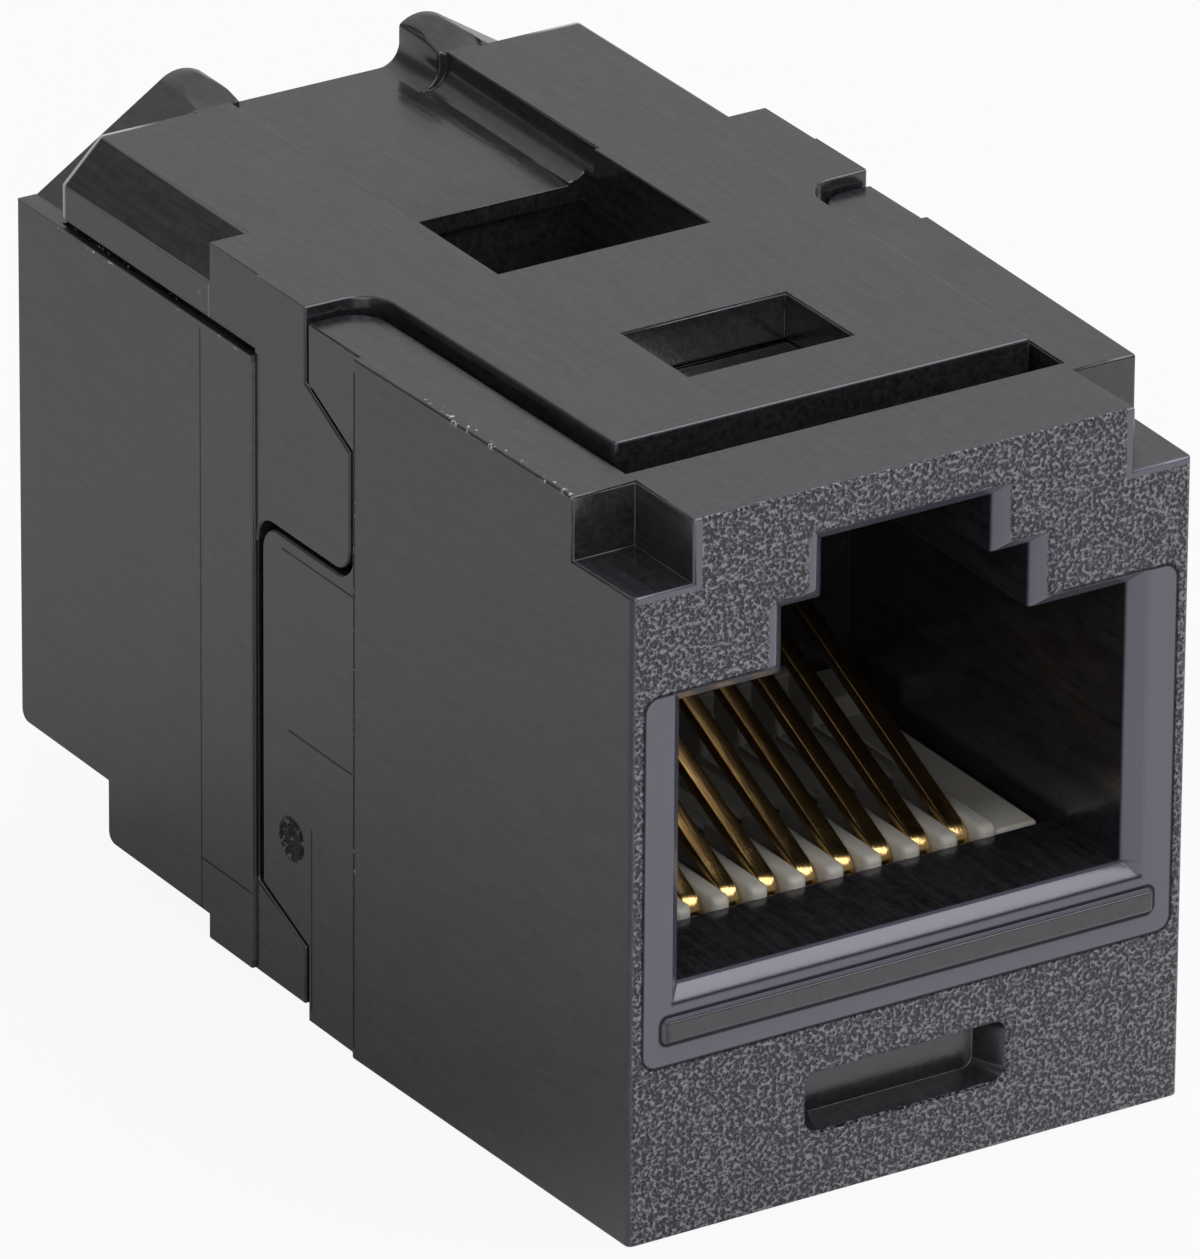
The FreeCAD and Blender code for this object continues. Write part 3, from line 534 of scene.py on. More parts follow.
@dataclass(frozen=True)
class ErodedMoulding(BlackMoulding):
    """The same plastic with a coarse eroded face round a smooth border.

    Attributes:
        body, latch: Outer edge of the bevel round the mouth's two parts.
        shoulder, channel: Smooth strips round the mouth's shoulders and the latch channel.
        notch: Inner x and lower z of the smooth strips beside the corner notches.
        crown, foot: Height of the lower bevel's crown and z of the painted shade line at its foot.
        chip_edge: x and z of the edge with the white chips.
        step: y of the crumbs along the side's step.
    """

    border: Outline = Outline(7.0, 4.3, 13.35, 0.35)
    body: Outline = Outline(6.45, 5.62, 13.6)
    latch: Outline = Outline(4.2, 13.0, 16.7)
    shoulder: Outline = Outline(3.63, 12.0, 14.85, shift=-0.15)
    channel: Outline = Outline(2.6, 14.0, 16.3, shift=-0.15)
    # Outline of the rib, round which a painted shade line is drawn.
    rib: Outline = Outline(6.5, 4.85, 5.45, 0.15)
    face_half: float = 7.22
    notch: tuple[float, float] = (5.6, 15.74)
    bevel: float = 0.38
    crown: float = 0.3
    bevel_half: float = 6.2
    foot: float = 5.78
    chip_edge: tuple[float, float] = (-7.42, 17.40)
    step: float = -1.83
    spots: Noise = Noise(4.2, 3.0, 0.7)
    clusters: Noise = Noise(5.0)
    crumbs: Noise = Noise(6.0, 2.0, 0.7)

    def masks(self, pattern: Pattern) -> Masks:
        """Eroded face, painted sheen on the front and the mouth's bevel, the lower bevel's crown,
        painted shade lines and chips.

        The crown is 4 t (1 - t) high, with t from 0 at the face to 1 at the bevel's inner edge.

        Args:
            pattern: The material under way.

        Returns:
            The masks.
        """
        x, y, z = pattern.x.size(), pattern.y, pattern.z
        front = y.step(FACE + 0.1, FACE + 0.03) * x.step(self.face_half + 0.08, self.face_half)
        mouth = pattern.distance(self.body).lowest(pattern.distance(self.latch)).step(0.05, 0.0)
        mouth = mouth * y.step(FACE + self.bevel + 0.07, FACE + self.bevel)
        inner, lower = self.notch
        away = (x * -1.0 + inner).highest(z * -1.0 + lower)
        for outline in (self.border, self.shoulder, self.channel):
            away = away.lowest(pattern.distance(outline))
        inward = ((y - FACE) * (1.0 / self.bevel)).highest(0.0).lowest(1.0)
        along = x.step(self.bevel_half + 0.1, self.bevel_half)
        crown = inward * (inward * -1.0 + 1.0) * (z.between(5.66, 6.12, 0.01) * along)
        steps = z.step(13.5, 13.3).highest(x.step(3.8, 4.0))
        # Painted shade lines along the smooth border's edge, round the rib and at the lower
        # bevel's foot.
        border = pattern.distance(self.border).near(0.02, 0.06) * steps
        rib = pattern.distance(self.rib).near(0.05, 0.07)
        painted_shade_lines = border.highest(rib).highest(z.near(self.foot, 0.06) * along) * front
        return Masks(dark_lines_and_shade=self._scored(pattern).highest(painted_shade_lines),
                     wear_and_glints=self._chipped(pattern),
                     # The front face and the mouth's bevel: painted sheen.
                     satin=(front * y.step(FACE - 0.13, FACE - 0.08)).highest(mouth),
                     coarse=front * away.step(0.0, 0.06),
                     crown=crown * (4.0 * self.crown))

    def _chipped(self, pattern: Pattern) -> Wire:
        """White chips along the left strip's outer top edge, most at the notch, and crumbs.

        Args:
            pattern: The material under way.

        Returns:
            1 where it is pale.
        """
        side, top = self.chip_edge
        edge = ((pattern.x - side).size().step(0.16, 0.08)
                * (pattern.z - top).size().step(0.1, 0.04)
                * pattern.y.between(FACE + 2.45, -4.0, 0.1))
        spots = pattern.noise(self.spots).step(0.60, 0.65)
        corner = pattern.y.step(FACE + 3.1, FACE + 2.4)
        corner = corner * pattern.noise(self.clusters).step(0.5, 0.56)
        step = pattern.y.near(self.step, 0.06) * pattern.z.between(2.0, 15.0, 0.5)
        crumbs = pattern.noise(self.crumbs).step(0.60, 0.66)
        crumbs = step * crumbs * self._on_sides(pattern) * 0.4
        return (edge * spots.highest(corner)).highest(crumbs)


@dataclass(frozen=True)
class TornPlastic(Finish):
    """Dull dark plastic where the gate was twisted off."""

    colour: Colour = (0.004, 0.004, 0.004)
    torn: Colour = (0.16, 0.155, 0.15)
    refraction: float = 1.45
    depth: float = 0.12
    flakes: Noise = Noise(6.0, 4.0, 0.7)

    def paint(self, pattern: Pattern) -> None:
        """Sets the shader's inputs, as in Finish."""
        torn = pattern.noise(self.flakes)
        pattern.set("Base Color", pattern.blend(torn.step(0.54, 0.62), self.colour, self.torn))
        pattern.set("Roughness", torn * 0.4 + 0.25)
        pattern.set("IOR", self.refraction)
        pattern.relief(torn.step(0.35, 0.65), self.depth)


@dataclass(frozen=True)
class NaturalPlastic(Finish):
    """Off-white moulding of the combs, faintly yellow and slightly translucent."""

    colour: Colour = (0.62, 0.60, 0.55)
    shaded: Colour = (0.50, 0.48, 0.43)
    # Painted shade: the comb's colour deeper in the socket.
    recess_shade: Colour = (0.20, 0.19, 0.175)
    translucent: float = 0.2
    glow_depth: float = 0.4
    depth: float = 0.008
    clouds: Noise = Noise(0.9, 3.0, 0.55)
    grain: Noise = Noise(8.0)

    def paint(self, pattern: Pattern) -> None:
        """Sets the shader's inputs, as in Finish."""
        cloud = pattern.noise(self.clouds)
        # Painted shade: darker deeper in the socket.
        inside = (pattern.y - MIDDLE).size().step(9.9, 8.2)
        base = pattern.blend(cloud, self.colour, self.shaded)
        pattern.set("Base Color", pattern.blend(inside * 0.8, base, self.recess_shade))
        pattern.set("Roughness", cloud * 0.15 + 0.32)
        pattern.set("Subsurface Weight", self.translucent)
        pattern.set("Subsurface Scale", self.glow_depth * MM)
        pattern.relief(pattern.noise(self.grain), self.depth)


@dataclass(frozen=True)
class Gilt(Finish):
    """Gold-plated spring strip, drawn marks along its length."""

    colour: Colour = (0.90, 0.62, 0.25)
    tarnished: Colour = (0.45, 0.25, 0.09)
    shaded: Colour = (0.24, 0.14, 0.055)
    depth: float = 0.006
    clouds: Noise = Noise(1.4, 3.0, 0.6)
    drawing: Noise = Noise(20.0, stretch=(1.0, 0.08, 0.08))

    def paint(self, pattern: Pattern) -> None:
        """Sets the shader's inputs, as in Finish."""
        cloud, drawn = pattern.noise(self.clouds), pattern.noise(self.drawing)
        arm = (pattern.y - MIDDLE).size().step(9.3, 8.5)
        base = pattern.blend(cloud.step(0.4, 0.8), self.colour, self.tarnished)
        pattern.set("Base Color", pattern.blend(arm * 0.85, base, self.shaded))
        pattern.set("Metallic", 1.0)
        pattern.set("Roughness", drawn * 0.14 + 0.12 + arm * 0.12)
        pattern.relief(drawn, self.depth)


@dataclass(frozen=True)
class GreenLaminate(Finish):
    """Board under green lacquer, with the weave faintly showing."""

    colour: Colour = (0.012, 0.10, 0.045)
    lit: Colour = (0.02, 0.16, 0.07)
    depth: float = 0.01
    weft: Noise = Noise(5.0, 1.0, 0.4, (1.0, 0.2, 1.0))
    warp: Noise = Noise(5.0, 1.0, 0.4, (0.2, 1.0, 1.0))

    def paint(self, pattern: Pattern) -> None:
        """Sets the shader's inputs, as in Finish."""
        weave = pattern.noise(self.weft) * 0.5 + pattern.noise(self.warp) * 0.5
        pattern.set("Base Color", pattern.blend(weave.step(0.35, 0.65), self.colour, self.lit))
        pattern.set("Roughness", weave * 0.2 + 0.2)
        pattern.relief(weave, self.depth)


def rings_object(name: str, points: np.ndarray, capped: bool) -> bpy.types.Object:
    """Mesh of a surface through a row of closed rings.

    The faces join each point (i, j) to (i + 1, j), (i + 1, j + 1) and (i, j + 1).

    Args:
        name: The object's name.
        points: Positions in millimetres, shape (rings, points, 3).
        capped: Whether the first and the last ring are closed by a face each.

    Returns:
        The object, at the origin, linked to the scene.
    """
    rows, columns = points.shape[:2]
    numbers = np.arange(rows * columns).reshape(rows, columns)
    ring = np.concatenate([numbers, numbers[:, :1]], axis=1)
    quads = np.stack([ring[:-1, :-1], ring[:-1, 1:], ring[1:, 1:], ring[1:, :-1]], axis=-1)
    faces = quads.reshape(-1, 4).tolist()
    if capped:
        faces += [numbers[0, ::-1].tolist(), numbers[-1].tolist()]
    mesh = bpy.data.meshes.new(name)
    mesh.from_pydata((points.reshape(-1, 3) * MM).tolist(), [], faces)
    mesh.update()
    made = bpy.data.objects.new(name, mesh)
    bpy.context.scene.collection.objects.link(made)
    return made


def recalculated(piece: bpy.types.Object) -> None:
    """Turns the faces of a closed mesh outwards.

    Args:
        piece: The object that holds the mesh.
    """
    work = bmesh.new()
    work.from_mesh(piece.data)
    bmesh.ops.recalc_face_normals(work, faces=work.faces)
    work.to_mesh(piece.data)
    work.free()


def rounded_section(width: float, height: float, corner: float, points: int) -> np.ndarray:
    """Rounded rectangle, four quarter circles joined by straight sides.

    Args:
        width: Its width.
        height: Its height.
        corner: Radius of its corners.
        points: Points on each quarter circle.

    Returns:
        Points (n, 2) of side and height about the middle.
    """
    angle = np.radians(np.arange(0, 360, 90)[:, None] + np.linspace(0, 90, points)[None, :])
    ring = np.stack([np.cos(angle), np.sin(angle)], axis=-1) * corner
    half = np.array([width, height]) / 2 - corner
    quarters = np.array([[1, 1], [-1, 1], [-1, -1], [1, -1]])[:, None, :] * half
    return (ring + quarters).reshape(-1, 2)


def bar(name: str, points: np.ndarray) -> bpy.types.Object:
    """Closed bar through a row of sections, smooth along its length.

    Args:
        name: The object's name.
        points: The sections' points in millimetres, shape (sections, points, 3).

    Returns:
        The object.
    """
    made = rings_object(name, points, capped=True)
    recalculated(made)
    made.data.shade_smooth()
    made.data.set_sharp_from_angle(angle=math.radians(50))
    return made


def dressed(piece: bpy.types.Object, material: bpy.types.Material, body: str) -> bpy.types.Object:
    """Gives a piece its finish and the body that it moves with.

    Args:
        piece: The piece.
        material: Its material.
        body: The body's name.

    Returns:
        The piece.
    """
    piece.data.materials.clear()
    piece.data.materials.append(material)
    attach(piece, body)
    return piece


def read(items: bpy.types.bpy_prop_collection, name: str, width: int = 1,
         kind: type = float) -> np.ndarray:
    """Reads one property of all items of a mesh.

    Args:
        items: Its vertices, edges, loops or polygons.
        name: The property.
        width: How many numbers an item has.
        kind: The numbers' type.

    Returns:
        The numbers, one row for each item where there are several.
    """
    values = np.empty(len(items) * width, dtype=kind)
    items.foreach_get(name, values)
    return values.reshape(-1, width) if width > 1 else values


def loops(mesh: bpy.types.Mesh) -> tuple[np.ndarray, np.ndarray, np.ndarray]:
    """Edges of each face in order.

    Args:
        mesh: The mesh.

    Returns:
        For each corner of each face: its edge, the face's first corner, the face's corner count.
    """
    total = read(mesh.polygons, "loop_total", kind=int)
    start = read(mesh.polygons, "loop_start", kind=int)
    return (read(mesh.loops, "edge_index", kind=int), np.repeat(start, total),
            np.repeat(total, total))


def edge_room(mesh: bpy.types.Mesh, onward: float = 0.85) -> np.ndarray:
    """Length that each edge's rounding has on the faces beside it.

    It is the shortest of the edges that meet it there, apart from those that carry it on.

    Args:
        mesh: The mesh.
        onward: Cosine of the angle below which an edge carries another on.

    Returns:
        The lengths, in metres, one for each edge.
    """
    ends = read(mesh.vertices, "co", 3)[read(mesh.edges, "vertices", 2, int)]
    along = ends[:, 1] - ends[:, 0]
    length = np.linalg.norm(along, axis=1)
    direction = along / length[:, None]
    edge, first, count = loops(mesh)
    place = np.arange(len(edge)) - first
    room = np.full(len(length), np.inf)
    for turn in (1, -1):
        beside = edge[first + (place + turn) % count]
        carried = np.abs((direction[edge] * direction[beside]).sum(axis=1)) > onward
        np.minimum.at(room, edge, np.where(carried, np.inf, length[beside]))
    return room


def sharp_edges(mesh: bpy.types.Mesh, degrees: float) -> tuple[np.ndarray, np.ndarray]:
    """Edges whose two faces differ by more than an angle.

    The sum of two unit normals has a squared length of 2 + 2 cos(angle). The sum of the two
    directions that lead from an edge into its faces has the normals' sense in a hollow edge.

    Args:
        mesh: The mesh.
        degrees: The angle.

    Returns:
        For each edge, whether it is sharp and whether it is hollow.
    """
    edge, first, count = loops(mesh)
    normal = np.repeat(read(mesh.polygons, "normal", 3),
                       read(mesh.polygons, "loop_total", kind=int), axis=0)
    corner = read(mesh.vertices, "co", 3)[read(mesh.loops, "vertex_index", kind=int)]
    place = np.arange(len(edge)) - first
    along = corner[first + (place + 1) % count] - corner
    summed, inside = np.zeros((2, len(mesh.edges), 3))
    np.add.at(summed, edge, normal)
    np.add.at(inside, edge, np.cross(normal, along))
    cosine = (summed ** 2).sum(axis=1) / 2 - 1
    return cosine < math.cos(math.radians(degrees)), (inside * summed).sum(axis=1) > 0


@dataclass(frozen=True)
class Region:
    """Box of the row frame in millimetres, with what is done to the mesh inside it."""

    low: Triple
    high: Triple
    shift: Triple = (0.0, 0.0, 0.0)
    ease: float = 1.0

    def holds(self, points: np.ndarray) -> np.ndarray:
        """Tells which points lie inside.

        Args:
            points: Positions in metres, shape (n, 3).

        Returns:
            True or False for each point.
        """
        low, high = np.array(self.low) * MM, np.array(self.high) * MM
        return np.all((points >= low) & (points <= high), axis=1)


@dataclass
class EasedMoulding:
    """A moulded part with the small edge radii that its tool leaves.

    Attributes:
        regions: Boxes in which points are shifted or radii differ.
        widest: Largest radius of any edge, as a share of the edge radius.
        hollow_share: Radius of a hollow edge, as a share of it.
        sharpest: Angle in degrees above which an edge is rounded.
        share: Radius of an edge beside a narrow step, as a share of the step.
        merged, flat: Distance and angle below which points and faces are joined.
    """

    node: str
    name: str
    edge_radius: float
    regions: tuple[Region, ...] = ()
    widest: float = 2.4
    hollow_share: float = 0.35
    segments: int = 3
    sharpest: float = 28.0
    share: float = 0.45
    merged: float = 0.001
    flat: float = 0.5

    def _cleaned(self) -> bpy.types.Mesh:
        """Copy of the solid's mesh with its flat faces joined."""
        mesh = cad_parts[self.node].data.copy()
        mesh.name = self.name
        work = bmesh.new()
        work.from_mesh(mesh)
        bmesh.ops.remove_doubles(work, verts=work.verts, dist=self.merged * MM)
        bmesh.ops.dissolve_limit(work, angle_limit=math.radians(self.flat), verts=work.verts,
                                 edges=work.edges)
        work.to_mesh(mesh)
        work.free()
        return mesh

    def _weigh(self, mesh: bpy.types.Mesh, points: np.ndarray) -> None:
        """Writes how wide each edge is rounded.

        Args:
            mesh: The mesh.
            points: Its vertices, in metres.
        """
        radius = self.edge_radius * MM
        weight = np.minimum(1.0, edge_room(mesh) * self.share / radius) / self.widest
        sharp, hollow = sharp_edges(mesh, self.sharpest)
        weight[~sharp] = 0.0
        weight[hollow] *= self.hollow_share
        middles = points[read(mesh.edges, "vertices", 2, int)].mean(axis=1)
        for region in self.regions:
            weight[region.holds(middles)] *= region.ease
        shares = mesh.attributes.new("bevel_weight_edge", "FLOAT", "EDGE")
        shares.data.foreach_set("value", np.minimum(weight, 1.0))

    def build(self) -> bpy.types.Object:
        """Shifts the regions' points and rounds the edges, each as far as it has room.

        Returns:
            The piece.
        """
        mesh = self._cleaned()
        points = read(mesh.vertices, "co", 3)
        for region in self.regions:
            points[region.holds(points)] += np.array(region.shift) * MM
        mesh.vertices.foreach_set("co", points.ravel())
        mesh.update()
        self._weigh(mesh, points)
        mesh.shade_smooth()
        piece = bpy.data.objects.new(self.name, mesh)
        bpy.context.scene.collection.objects.link(piece)
        ease = piece.modifiers.new("edge_radius", "BEVEL")
        ease.width, ease.segments = self.edge_radius * MM * self.widest, self.segments
        ease.limit_method = "WEIGHT"
        ease.use_clamp_overlap = False
        shade = piece.modifiers.new("flat_faces", "WEIGHTED_NORMAL")
        shade.weight = 90
        shade.keep_sharp = False
        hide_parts(self.node)
        return piece


@dataclass
class GateMark:
    """Twisted-off gate on the left tab: a low round ring with a rough crater inside.

    Attributes:
        place, face: y and z of its middle and x of the tab's face.
        rim: The ring's height; where its crest is and how wide it is, as shares of the radius.
        crater: Height of the middle and of its waves.
        nib: Height of the torn nib; y and z of its top; its widths along them.
        sunk: How far the mark's edge lies under the face.
    """

    radius: float = 0.56
    place: tuple[float, float] = (1.145, 4.31)
    face: float = -7.5
    rim: Triple = (0.06, 0.82, 0.12)
    crater: tuple[float, float] = (0.02, 0.012)
    nib: tuple[float, ...] = (0.05, 0.1, 0.12, 0.16, 0.1)
    sunk: float = 0.004

    def build(self) -> bpy.types.Object:
        """Builds the mark.

        With t from 0 in the middle to 1 at the edge, the rim is a bell curve about its crest, the
        crater a dome with five waves and the nib an off-centre bell. All fall to 0 as 1 - t^8.

        Returns:
            The piece.
        """
        reach = np.linspace(0.0, 1.0, 15)[:, None]
        turn = np.linspace(0.0, 2 * np.pi, 48, endpoint=False)[None, :]
        along, up = (reach * self.radius * part for part in (np.cos(turn), np.sin(turn)))
        height, crest, width = self.rim
        rim = height * np.exp(-((reach - crest) / width) ** 2)
        dome, wave = self.crater
        crater = dome * (1 - reach ** 2) + wave * np.sin(5 * turn + 3 * reach) * reach
        height, y, z, long, tall = self.nib
        nib = height * np.exp(-(((along - y) / long) ** 2 + ((up - z) / tall) ** 2))
        raised = (rim + crater + nib) * (1 - reach ** 8) - self.sunk * reach ** 8
        y, z = self.place
        points = np.stack([self.face - raised, y + along, z + up], axis=-1)
        piece = rings_object("gate_mark", points, capped=False)
        piece.data.shade_smooth()
        return piece


@dataclass
class Housing:
    """The two interlocked housing halves and the marks that their tools leave."""

    edge_radius: float = 0.07
    front_scores: tuple[Score, ...] = (
        Score("z", 11.43, -1.72, 1.59), Score("z", 7.0, -1.72, 1.29),
        Score("y", 0.275, 0.33, 4.9), Score("y", -1.80, 0.3, 17.1, 0.08))
    rear_scores: tuple[Score, ...] = (
        Score("z", 2.3, 2.74, 4.98), Score("y", 4.98, 1.0, 15.6),
        Score("y", 2.68, 2.75, 11.2, 0.07))
    slot_back: Region = Region((-2.9, FACE + 1.2, 1.5), (2.9, FACE + 1.3, 3.3),
                               shift=(0.0, -0.39, 0.0))
    rib_crest: tuple[Region, ...] = (
        Region((-7.0, CREST, 5.2), (7.0, CREST + 0.1, 5.4), shift=(0.0, 0.0, 0.09)),
        Region((-7.0, CREST, 5.2), (7.0, CREST + 0.1, 5.5), ease=0.5),
        Region((-7.0, CREST, 4.9), (7.0, CREST + 0.1, 5.1), shift=(0.0, 0.0, -0.05)),
        Region((-7.0, CREST, 4.8), (-6.3, CREST + 0.1, 5.5), shift=(-0.07, 0.0, 0.0)),
        Region((6.3, CREST, 4.8), (7.0, CREST + 0.1, 5.5), shift=(0.07, 0.0, 0.0)))
    front_corners: tuple[Region, ...] = (
        Region((-7.5, FACE - 0.1, 5.0), (-7.2, FACE + 0.1, 12.0), ease=2.2),
        Region((7.2, FACE - 0.1, 5.0), (7.5, FACE + 0.1, 12.0), ease=2.2))
    seam: Region = Region((-8.0, 2.0, 15.4), (8.0, 14.0, 15.95), ease=0.35)

    def build(self) -> list[bpy.types.Object]:
        """Builds and dresses the halves and the gate's mark.

        Returns:
            The pieces.
        """
        regions = {End.FRONT: (self.slot_back, *self.rib_crest, *self.front_corners),
                   End.REAR: (self.seam,)}
        materials = [ErodedMoulding("front_moulding", self.front_scores).material(),
                     BlackMoulding("rear_moulding", self.rear_scores).material()]
        pieces = [EasedMoulding(f"{end.value}_housing", f"{end.value}_shell", self.edge_radius,
                                regions[end]).build() for end in End]
        pieces.append(GateMark().build())
        materials.append(TornPlastic("torn_gate").material())
        return [dressed(piece, material, HOUSING)
                for piece, material in zip(pieces, materials)]


@dataclass
class Contacts:
    """Eight gilt spring strips in one socket, each bent over the comb's nose."""

    end: End
    gilt: Gilt = Gilt("gilt_strip")
    width: float = 0.46
    thickness: float = 0.30
    corner: float = 0.055
    bend_depth: float = 3.95
    bend_height: float = 5.75
    bend_radius: float = 0.5
    rise: float = 25.0
    arm: float = 7.25
    tail_end: float = 3.35
    drawn_in: float = 0.8

    def _path(self) -> tuple[np.ndarray, np.ndarray]:
        """Middle line of the strip and its direction: tail, arc about the bend's centre, arm.

        Returns:
            Points (n, 2) of depth and height, and unit directions (n, 2).
        """
        tail = np.array([[self.bend_depth - self.bend_radius, h]
                         for h in np.linspace(self.tail_end, self.bend_height, 6)])
        angle = np.radians(np.linspace(180.0, 90.0 + self.rise, 15)[1:])
        arc = np.stack([self.bend_depth + self.bend_radius * np.cos(angle),
                        self.bend_height + self.bend_radius * np.sin(angle)], axis=-1)
        rise = math.radians(self.rise)
        ahead = np.array([math.cos(rise), math.sin(rise)])
        arm = arc[-1] + np.linspace(0.0, self.arm, 16)[1:, None] * ahead
        line = np.concatenate([tail, arc, arm])
        along = np.gradient(line, axis=0)
        return line, along / np.linalg.norm(along, axis=1, keepdims=True)

    def strip(self, place: int) -> bpy.types.Object:
        """One contact: a rounded section carried along the path, its ends drawn in.

        Args:
            place: 1 to 8, from the left as one looks into the socket.

        Returns:
            The piece.
        """
        line, along = self._path()
        section = rounded_section(self.width, self.thickness, self.corner, 4)
        ends = np.ones(len(line))
        ends[0] = ends[-1] = self.drawn_in
        up = np.stack([-along[:, 1], along[:, 0]], axis=-1)
        side = section[None, :, 0] * ends[:, None]
        lift = section[None, :, 1, None] * (up * ends[:, None])[:, None, :]
        flat = line[:, None, :] + lift
        across = PITCH * (place - (CONTACTS + 1) / 2) + side
        points = np.stack([across, FACE + flat[..., 0], flat[..., 1]], axis=-1)
        name = f"{self.end.value}_contact_{place}"
        piece = bar(f"{name}_strip", self.end.placed(points))
        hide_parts(name)
        return piece

    def build(self) -> list[bpy.types.Object]:
        """Builds and dresses the contacts.

        Returns:
            The pieces.
        """
        material = self.gilt.material()
        return [dressed(self.strip(place), material, f"{self.end.value}_contact_{place}") for place in range(1, CONTACTS + 1)]


@dataclass
class CombRibs:
    """Rounded ribs of a comb, one on each side of every contact's bend.

    Attributes:
        sections: Depths behind the rounded end's start of the straight part's sections.
        start: Depth behind the front face at which a rib starts.
        nose: Length of its rounded end.
        taper: How much faster than along a circle that end is drawn in.
        tip: Smallest share of the section there.
    """

    end: End
    width: float = 0.5
    low: float = 5.7
    high: float = 6.36
    sections: Triple = (1.4, 2.4, 3.6)
    start: float = 2.93
    corner: float = 0.13
    nose: float = 0.24
    taper: float = 1.6
    tip: float = 0.05

    def rib(self, place: int) -> bpy.types.Object:
        """One rib: a rounded section whose front end is drawn in along a quarter circle.

        Args:
            place: 0 to 8, from the left as one looks into the socket.

        Returns:
            The piece.
        """
        turn = np.radians(np.linspace(0.0, 90.0, 9))
        depth = self.start + np.concatenate([self.nose * (1 - np.cos(turn)), self.sections])
        drawn = np.concatenate([self.nose * (1 - np.sin(turn)), np.zeros(len(self.sections))])
        size = np.array([self.width, self.high - self.low])
        shares = np.clip(1 - drawn[:, None, None] / size * self.taper, self.tip, None)
        flat = rounded_section(*size, self.corner, 5)[None] * shares
        across = PITCH * (place - CONTACTS / 2) + flat[..., 0]
        up = (self.low + self.high) / 2 + flat[..., 1]
        points = np.stack([across, FACE + depth[:, None] + 0 * across, up], axis=-1)
        return bar(f"{self.end.value}_comb_rib_{place}", self.end.placed(points))

    def build(self) -> list[bpy.types.Object]:
        """Builds the ribs.

        Returns:
            The pieces.
        """
        return [self.rib(place) for place in range(CONTACTS + 1)]


@dataclass
class Inside:
    """What the housing holds: the combs and the board."""

    natural: NaturalPlastic = NaturalPlastic("natural_plastic")
    laminate: GreenLaminate = GreenLaminate("green_laminate")
    comb_radius: float = 0.12

    def build(self) -> list[bpy.types.Object]:
        """Builds the combs and dresses the board.

        Returns:
            The pieces and the board.
        """
        material = self.natural.material()
        made = [EasedMoulding(f"{end.value}_contact_carrier", f"{end.value}_comb",
                              self.comb_radius).build() for end in End]
        for end in End:
            made += CombRibs(end).build()
        for comb in made:
            dressed(comb, material, HOUSING)
        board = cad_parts["circuit_board"]
        board.data.materials.clear()
        board.data.materials.append(self.laminate.material())
        return [*made, board]


@dataclass(frozen=True)
class Lamp:
    """Square soft lamp that faces the coupler; metres and watts."""

    name: str
    place: Triple
    side: float
    power: float

    def build(self) -> None:
        """Hangs the lamp."""
        light = bpy.data.lights.new(self.name, "AREA")
        light.energy, light.size = self.power, self.side
        lamp = bpy.data.objects.new(self.name, light)
        lamp.location = self.place
        lamp.rotation_euler = (-Vector(self.place)).to_track_quat("-Z", "Y").to_euler()
        bpy.context.scene.collection.objects.link(lamp)


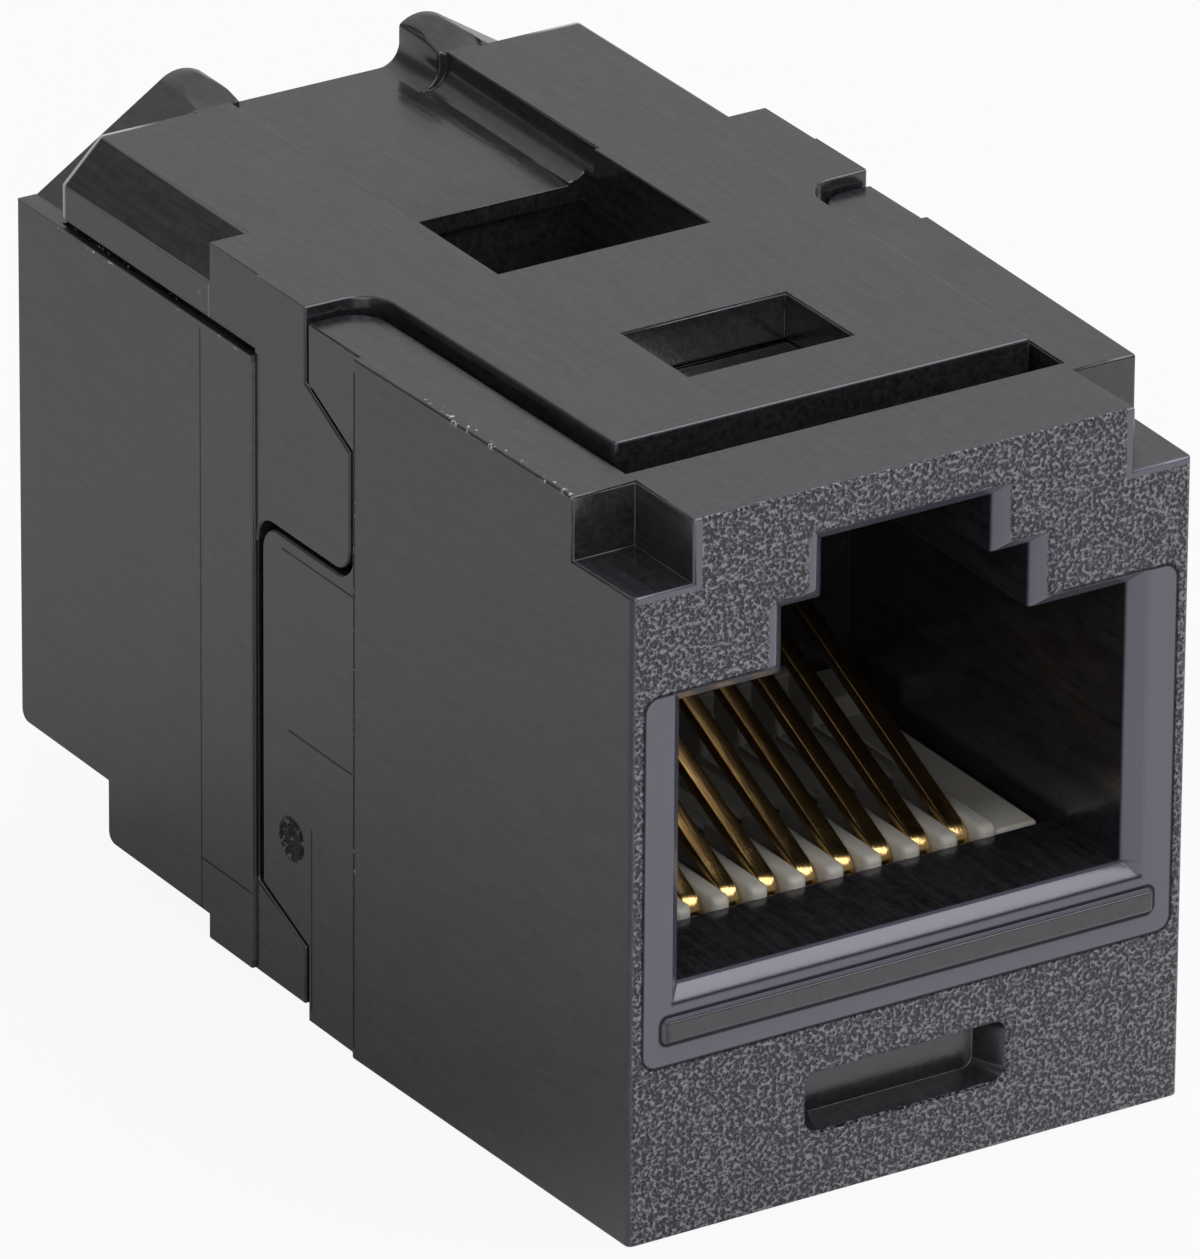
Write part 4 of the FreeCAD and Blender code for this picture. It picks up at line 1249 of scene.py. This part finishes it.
@dataclass
class Studio:
    """Pale floor, soft lamps, pale surroundings and the camera at the photo's angle.

    Attributes:
        camera_place: Where the camera is, in metres; its angles are in degrees.
        lens: Focal length in millimetres.
        floor_reach: The floor's radius, in metres.
        floor_white: How much of the floor the camera sees as white.
        floor_mirrored: How white metal and gloss see it everywhere, and the painted pool of light
        added ahead on the right.
        sky: Strengths of the glow behind, of that overhead and of the rest.
        sky_mirrored: How white metal and gloss see the surroundings.
    """

    camera_place: Triple = (-0.18032, -0.285325, 0.16554)
    azimuth: float = -32.3885
    elevation: float = 24.8968
    roll: float = 0.4734
    lens: float = 466.94
    shift: tuple[float, float] = (-0.01925, -0.02118)
    lamps: tuple[Lamp, ...] = (Lamp("key_softbox", (0.316, -0.146, 0.55), 0.64, 2.9),
                               Lamp("fill_softbox", (-0.30, -0.45, 0.30), 0.5, 1.1))
    floor_grey: float = 0.56
    floor_reach: float = 2.0
    floor_white: float = 0.92
    floor_mirrored: tuple[float, float] = (0.05, 0.9)
    sky: Triple = (0.62, 0.6, 0.10)
    sky_mirrored: float = 0.1

    def camera(self) -> None:
        """Makes the camera.

        Its back direction is (sin a cos e, -cos a cos e, sin e); it then rolls about it.
        """
        a, e, r = (math.radians(v) for v in (self.azimuth, self.elevation, self.roll))
        back = Vector((math.sin(a) * math.cos(e), -math.cos(a) * math.cos(e), math.sin(e)))
        right = Vector((math.cos(a), math.sin(a), 0.0))
        up = back.cross(right)
        turned = right * math.cos(r) + up * math.sin(r)
        tipped = up * math.cos(r) - right * math.sin(r)
        lens = bpy.data.cameras.new("camera")
        lens.lens, lens.sensor_width = self.lens, 36.0
        lens.shift_x, lens.shift_y = self.shift
        lens.clip_start, lens.clip_end = 0.01, 20.0
        camera = bpy.data.objects.new("camera", lens)
        axes = Matrix((turned, tipped, back)).transposed().to_4x4()
        camera.matrix_world = Matrix.Translation(self.camera_place) @ axes
        bpy.context.scene.collection.objects.link(camera)
        bpy.context.scene.camera = camera

    def mixed(self, tree: bpy.types.NodeTree, plain: float,
              glossy: "Wire | float") -> bpy.types.ShaderNode:
        """Mixes in a second shader by the kind of ray that looks.

        Args:
            tree: The node tree.
            plain: Its share for the camera's and for transmission rays.
            glossy: Its share for glossy rays.

        Returns:
            The node that mixes.
        """
        seen = tree.nodes.new("ShaderNodeLightPath")
        share = (Wire(tree, seen.outputs["Is Camera Ray"]) * plain
                 + Wire(tree, seen.outputs["Is Transmission Ray"]) * plain
                 + Wire(tree, seen.outputs["Is Glossy Ray"]) * glossy)
        both = tree.nodes.new("ShaderNodeMixShader")
        tree.links.new(share.socket, both.inputs[0])
        return both

    def floor(self) -> None:
        """Pale floor: a disc that the camera sees as white except for its shadow."""
        turn = np.linspace(0.0, 2 * np.pi, 64, endpoint=False)[None, :]
        reach = np.array([0.0001, 1.0])[:, None] * self.floor_reach / MM
        points = np.stack([reach * np.cos(turn), reach * np.sin(turn),
                           np.full((2, 64), -0.02)], axis=-1)
        floor = rings_object("floor", points, capped=False)
        recalculated(floor)
        pattern = Pattern("pale_floor")
        pattern.set("Base Color", (self.floor_grey,) * 3)
        pattern.set("Roughness", 0.9)
        tree = pattern.tree
        glow = tree.nodes.new("ShaderNodeEmission")
        glow.inputs["Color"].default_value = (1.0, 1.0, 1.0, 1.0)
        near, far = self.floor_mirrored
        # Painted pool of light: to glossy rays the floor glows whiter ahead on the right.
        ahead = (pattern.x - pattern.y * 1.2).step(-5.0, 25.0)
        both = self.mixed(tree, self.floor_white, ahead * far + near)
        tree.links.new(pattern.shader.outputs[0], both.inputs[1])
        tree.links.new(glow.outputs[0], both.inputs[2])
        tree.links.new(both.outputs[0], tree.nodes["Material Output"].inputs["Surface"])
        pattern.material.cycles.emission_sampling = "NONE"
        floor.data.materials.append(pattern.material)

    def surroundings(self) -> None:
        """World: white to the camera; to the rest a soft glow overhead and behind on the right."""
        world = bpy.data.worlds.new("surroundings")
        bpy.context.scene.world = world
        world.use_nodes = True
        tree = world.node_tree
        tree.nodes.clear()
        place = tree.nodes.new("ShaderNodeTexCoord")
        split = tree.nodes.new("ShaderNodeSeparateXYZ")
        tree.links.new(place.outputs["Generated"], split.inputs[0])
        x, y, z = (Wire(tree, out) for out in split.outputs)
        behind, overhead, rest = self.sky
        lobe = (x * 0.55 + y * 0.75 + z * 0.37).step(0.55, 0.85) * behind
        glow = lobe.highest(z.step(0.45, 0.7) * overhead) + rest
        sky = tree.nodes.new("ShaderNodeBackground")
        tree.links.new(glow.socket, sky.inputs["Strength"])
        white = tree.nodes.new("ShaderNodeBackground")
        both = self.mixed(tree, 1.0, self.sky_mirrored)
        out = tree.nodes.new("ShaderNodeOutputWorld")
        tree.links.new(sky.outputs[0], both.inputs[1])
        tree.links.new(white.outputs[0], both.inputs[2])
        tree.links.new(both.outputs[0], out.inputs["Surface"])

    def build(self) -> None:
        """Sets up the camera, the floor and the light."""
        self.camera()
        self.floor()
        self.surroundings()
        for lamp in self.lamps:
            lamp.build()
        bpy.context.scene.view_settings.view_transform = "Standard"


def main() -> None:
    """Builds the coupler's looks and the studio."""
    logging.basicConfig(level=logging.INFO, format="%(name)s: %(message)s")
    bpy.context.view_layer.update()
    Studio().build()
    for assembly in (Housing(), Inside(), Contacts(End.FRONT), Contacts(End.REAR)):
        for piece in assembly.build():
            log.info("%s with %d vertices", piece.name, len(piece.data.vertices))


if __name__ == "__main__":
    main()
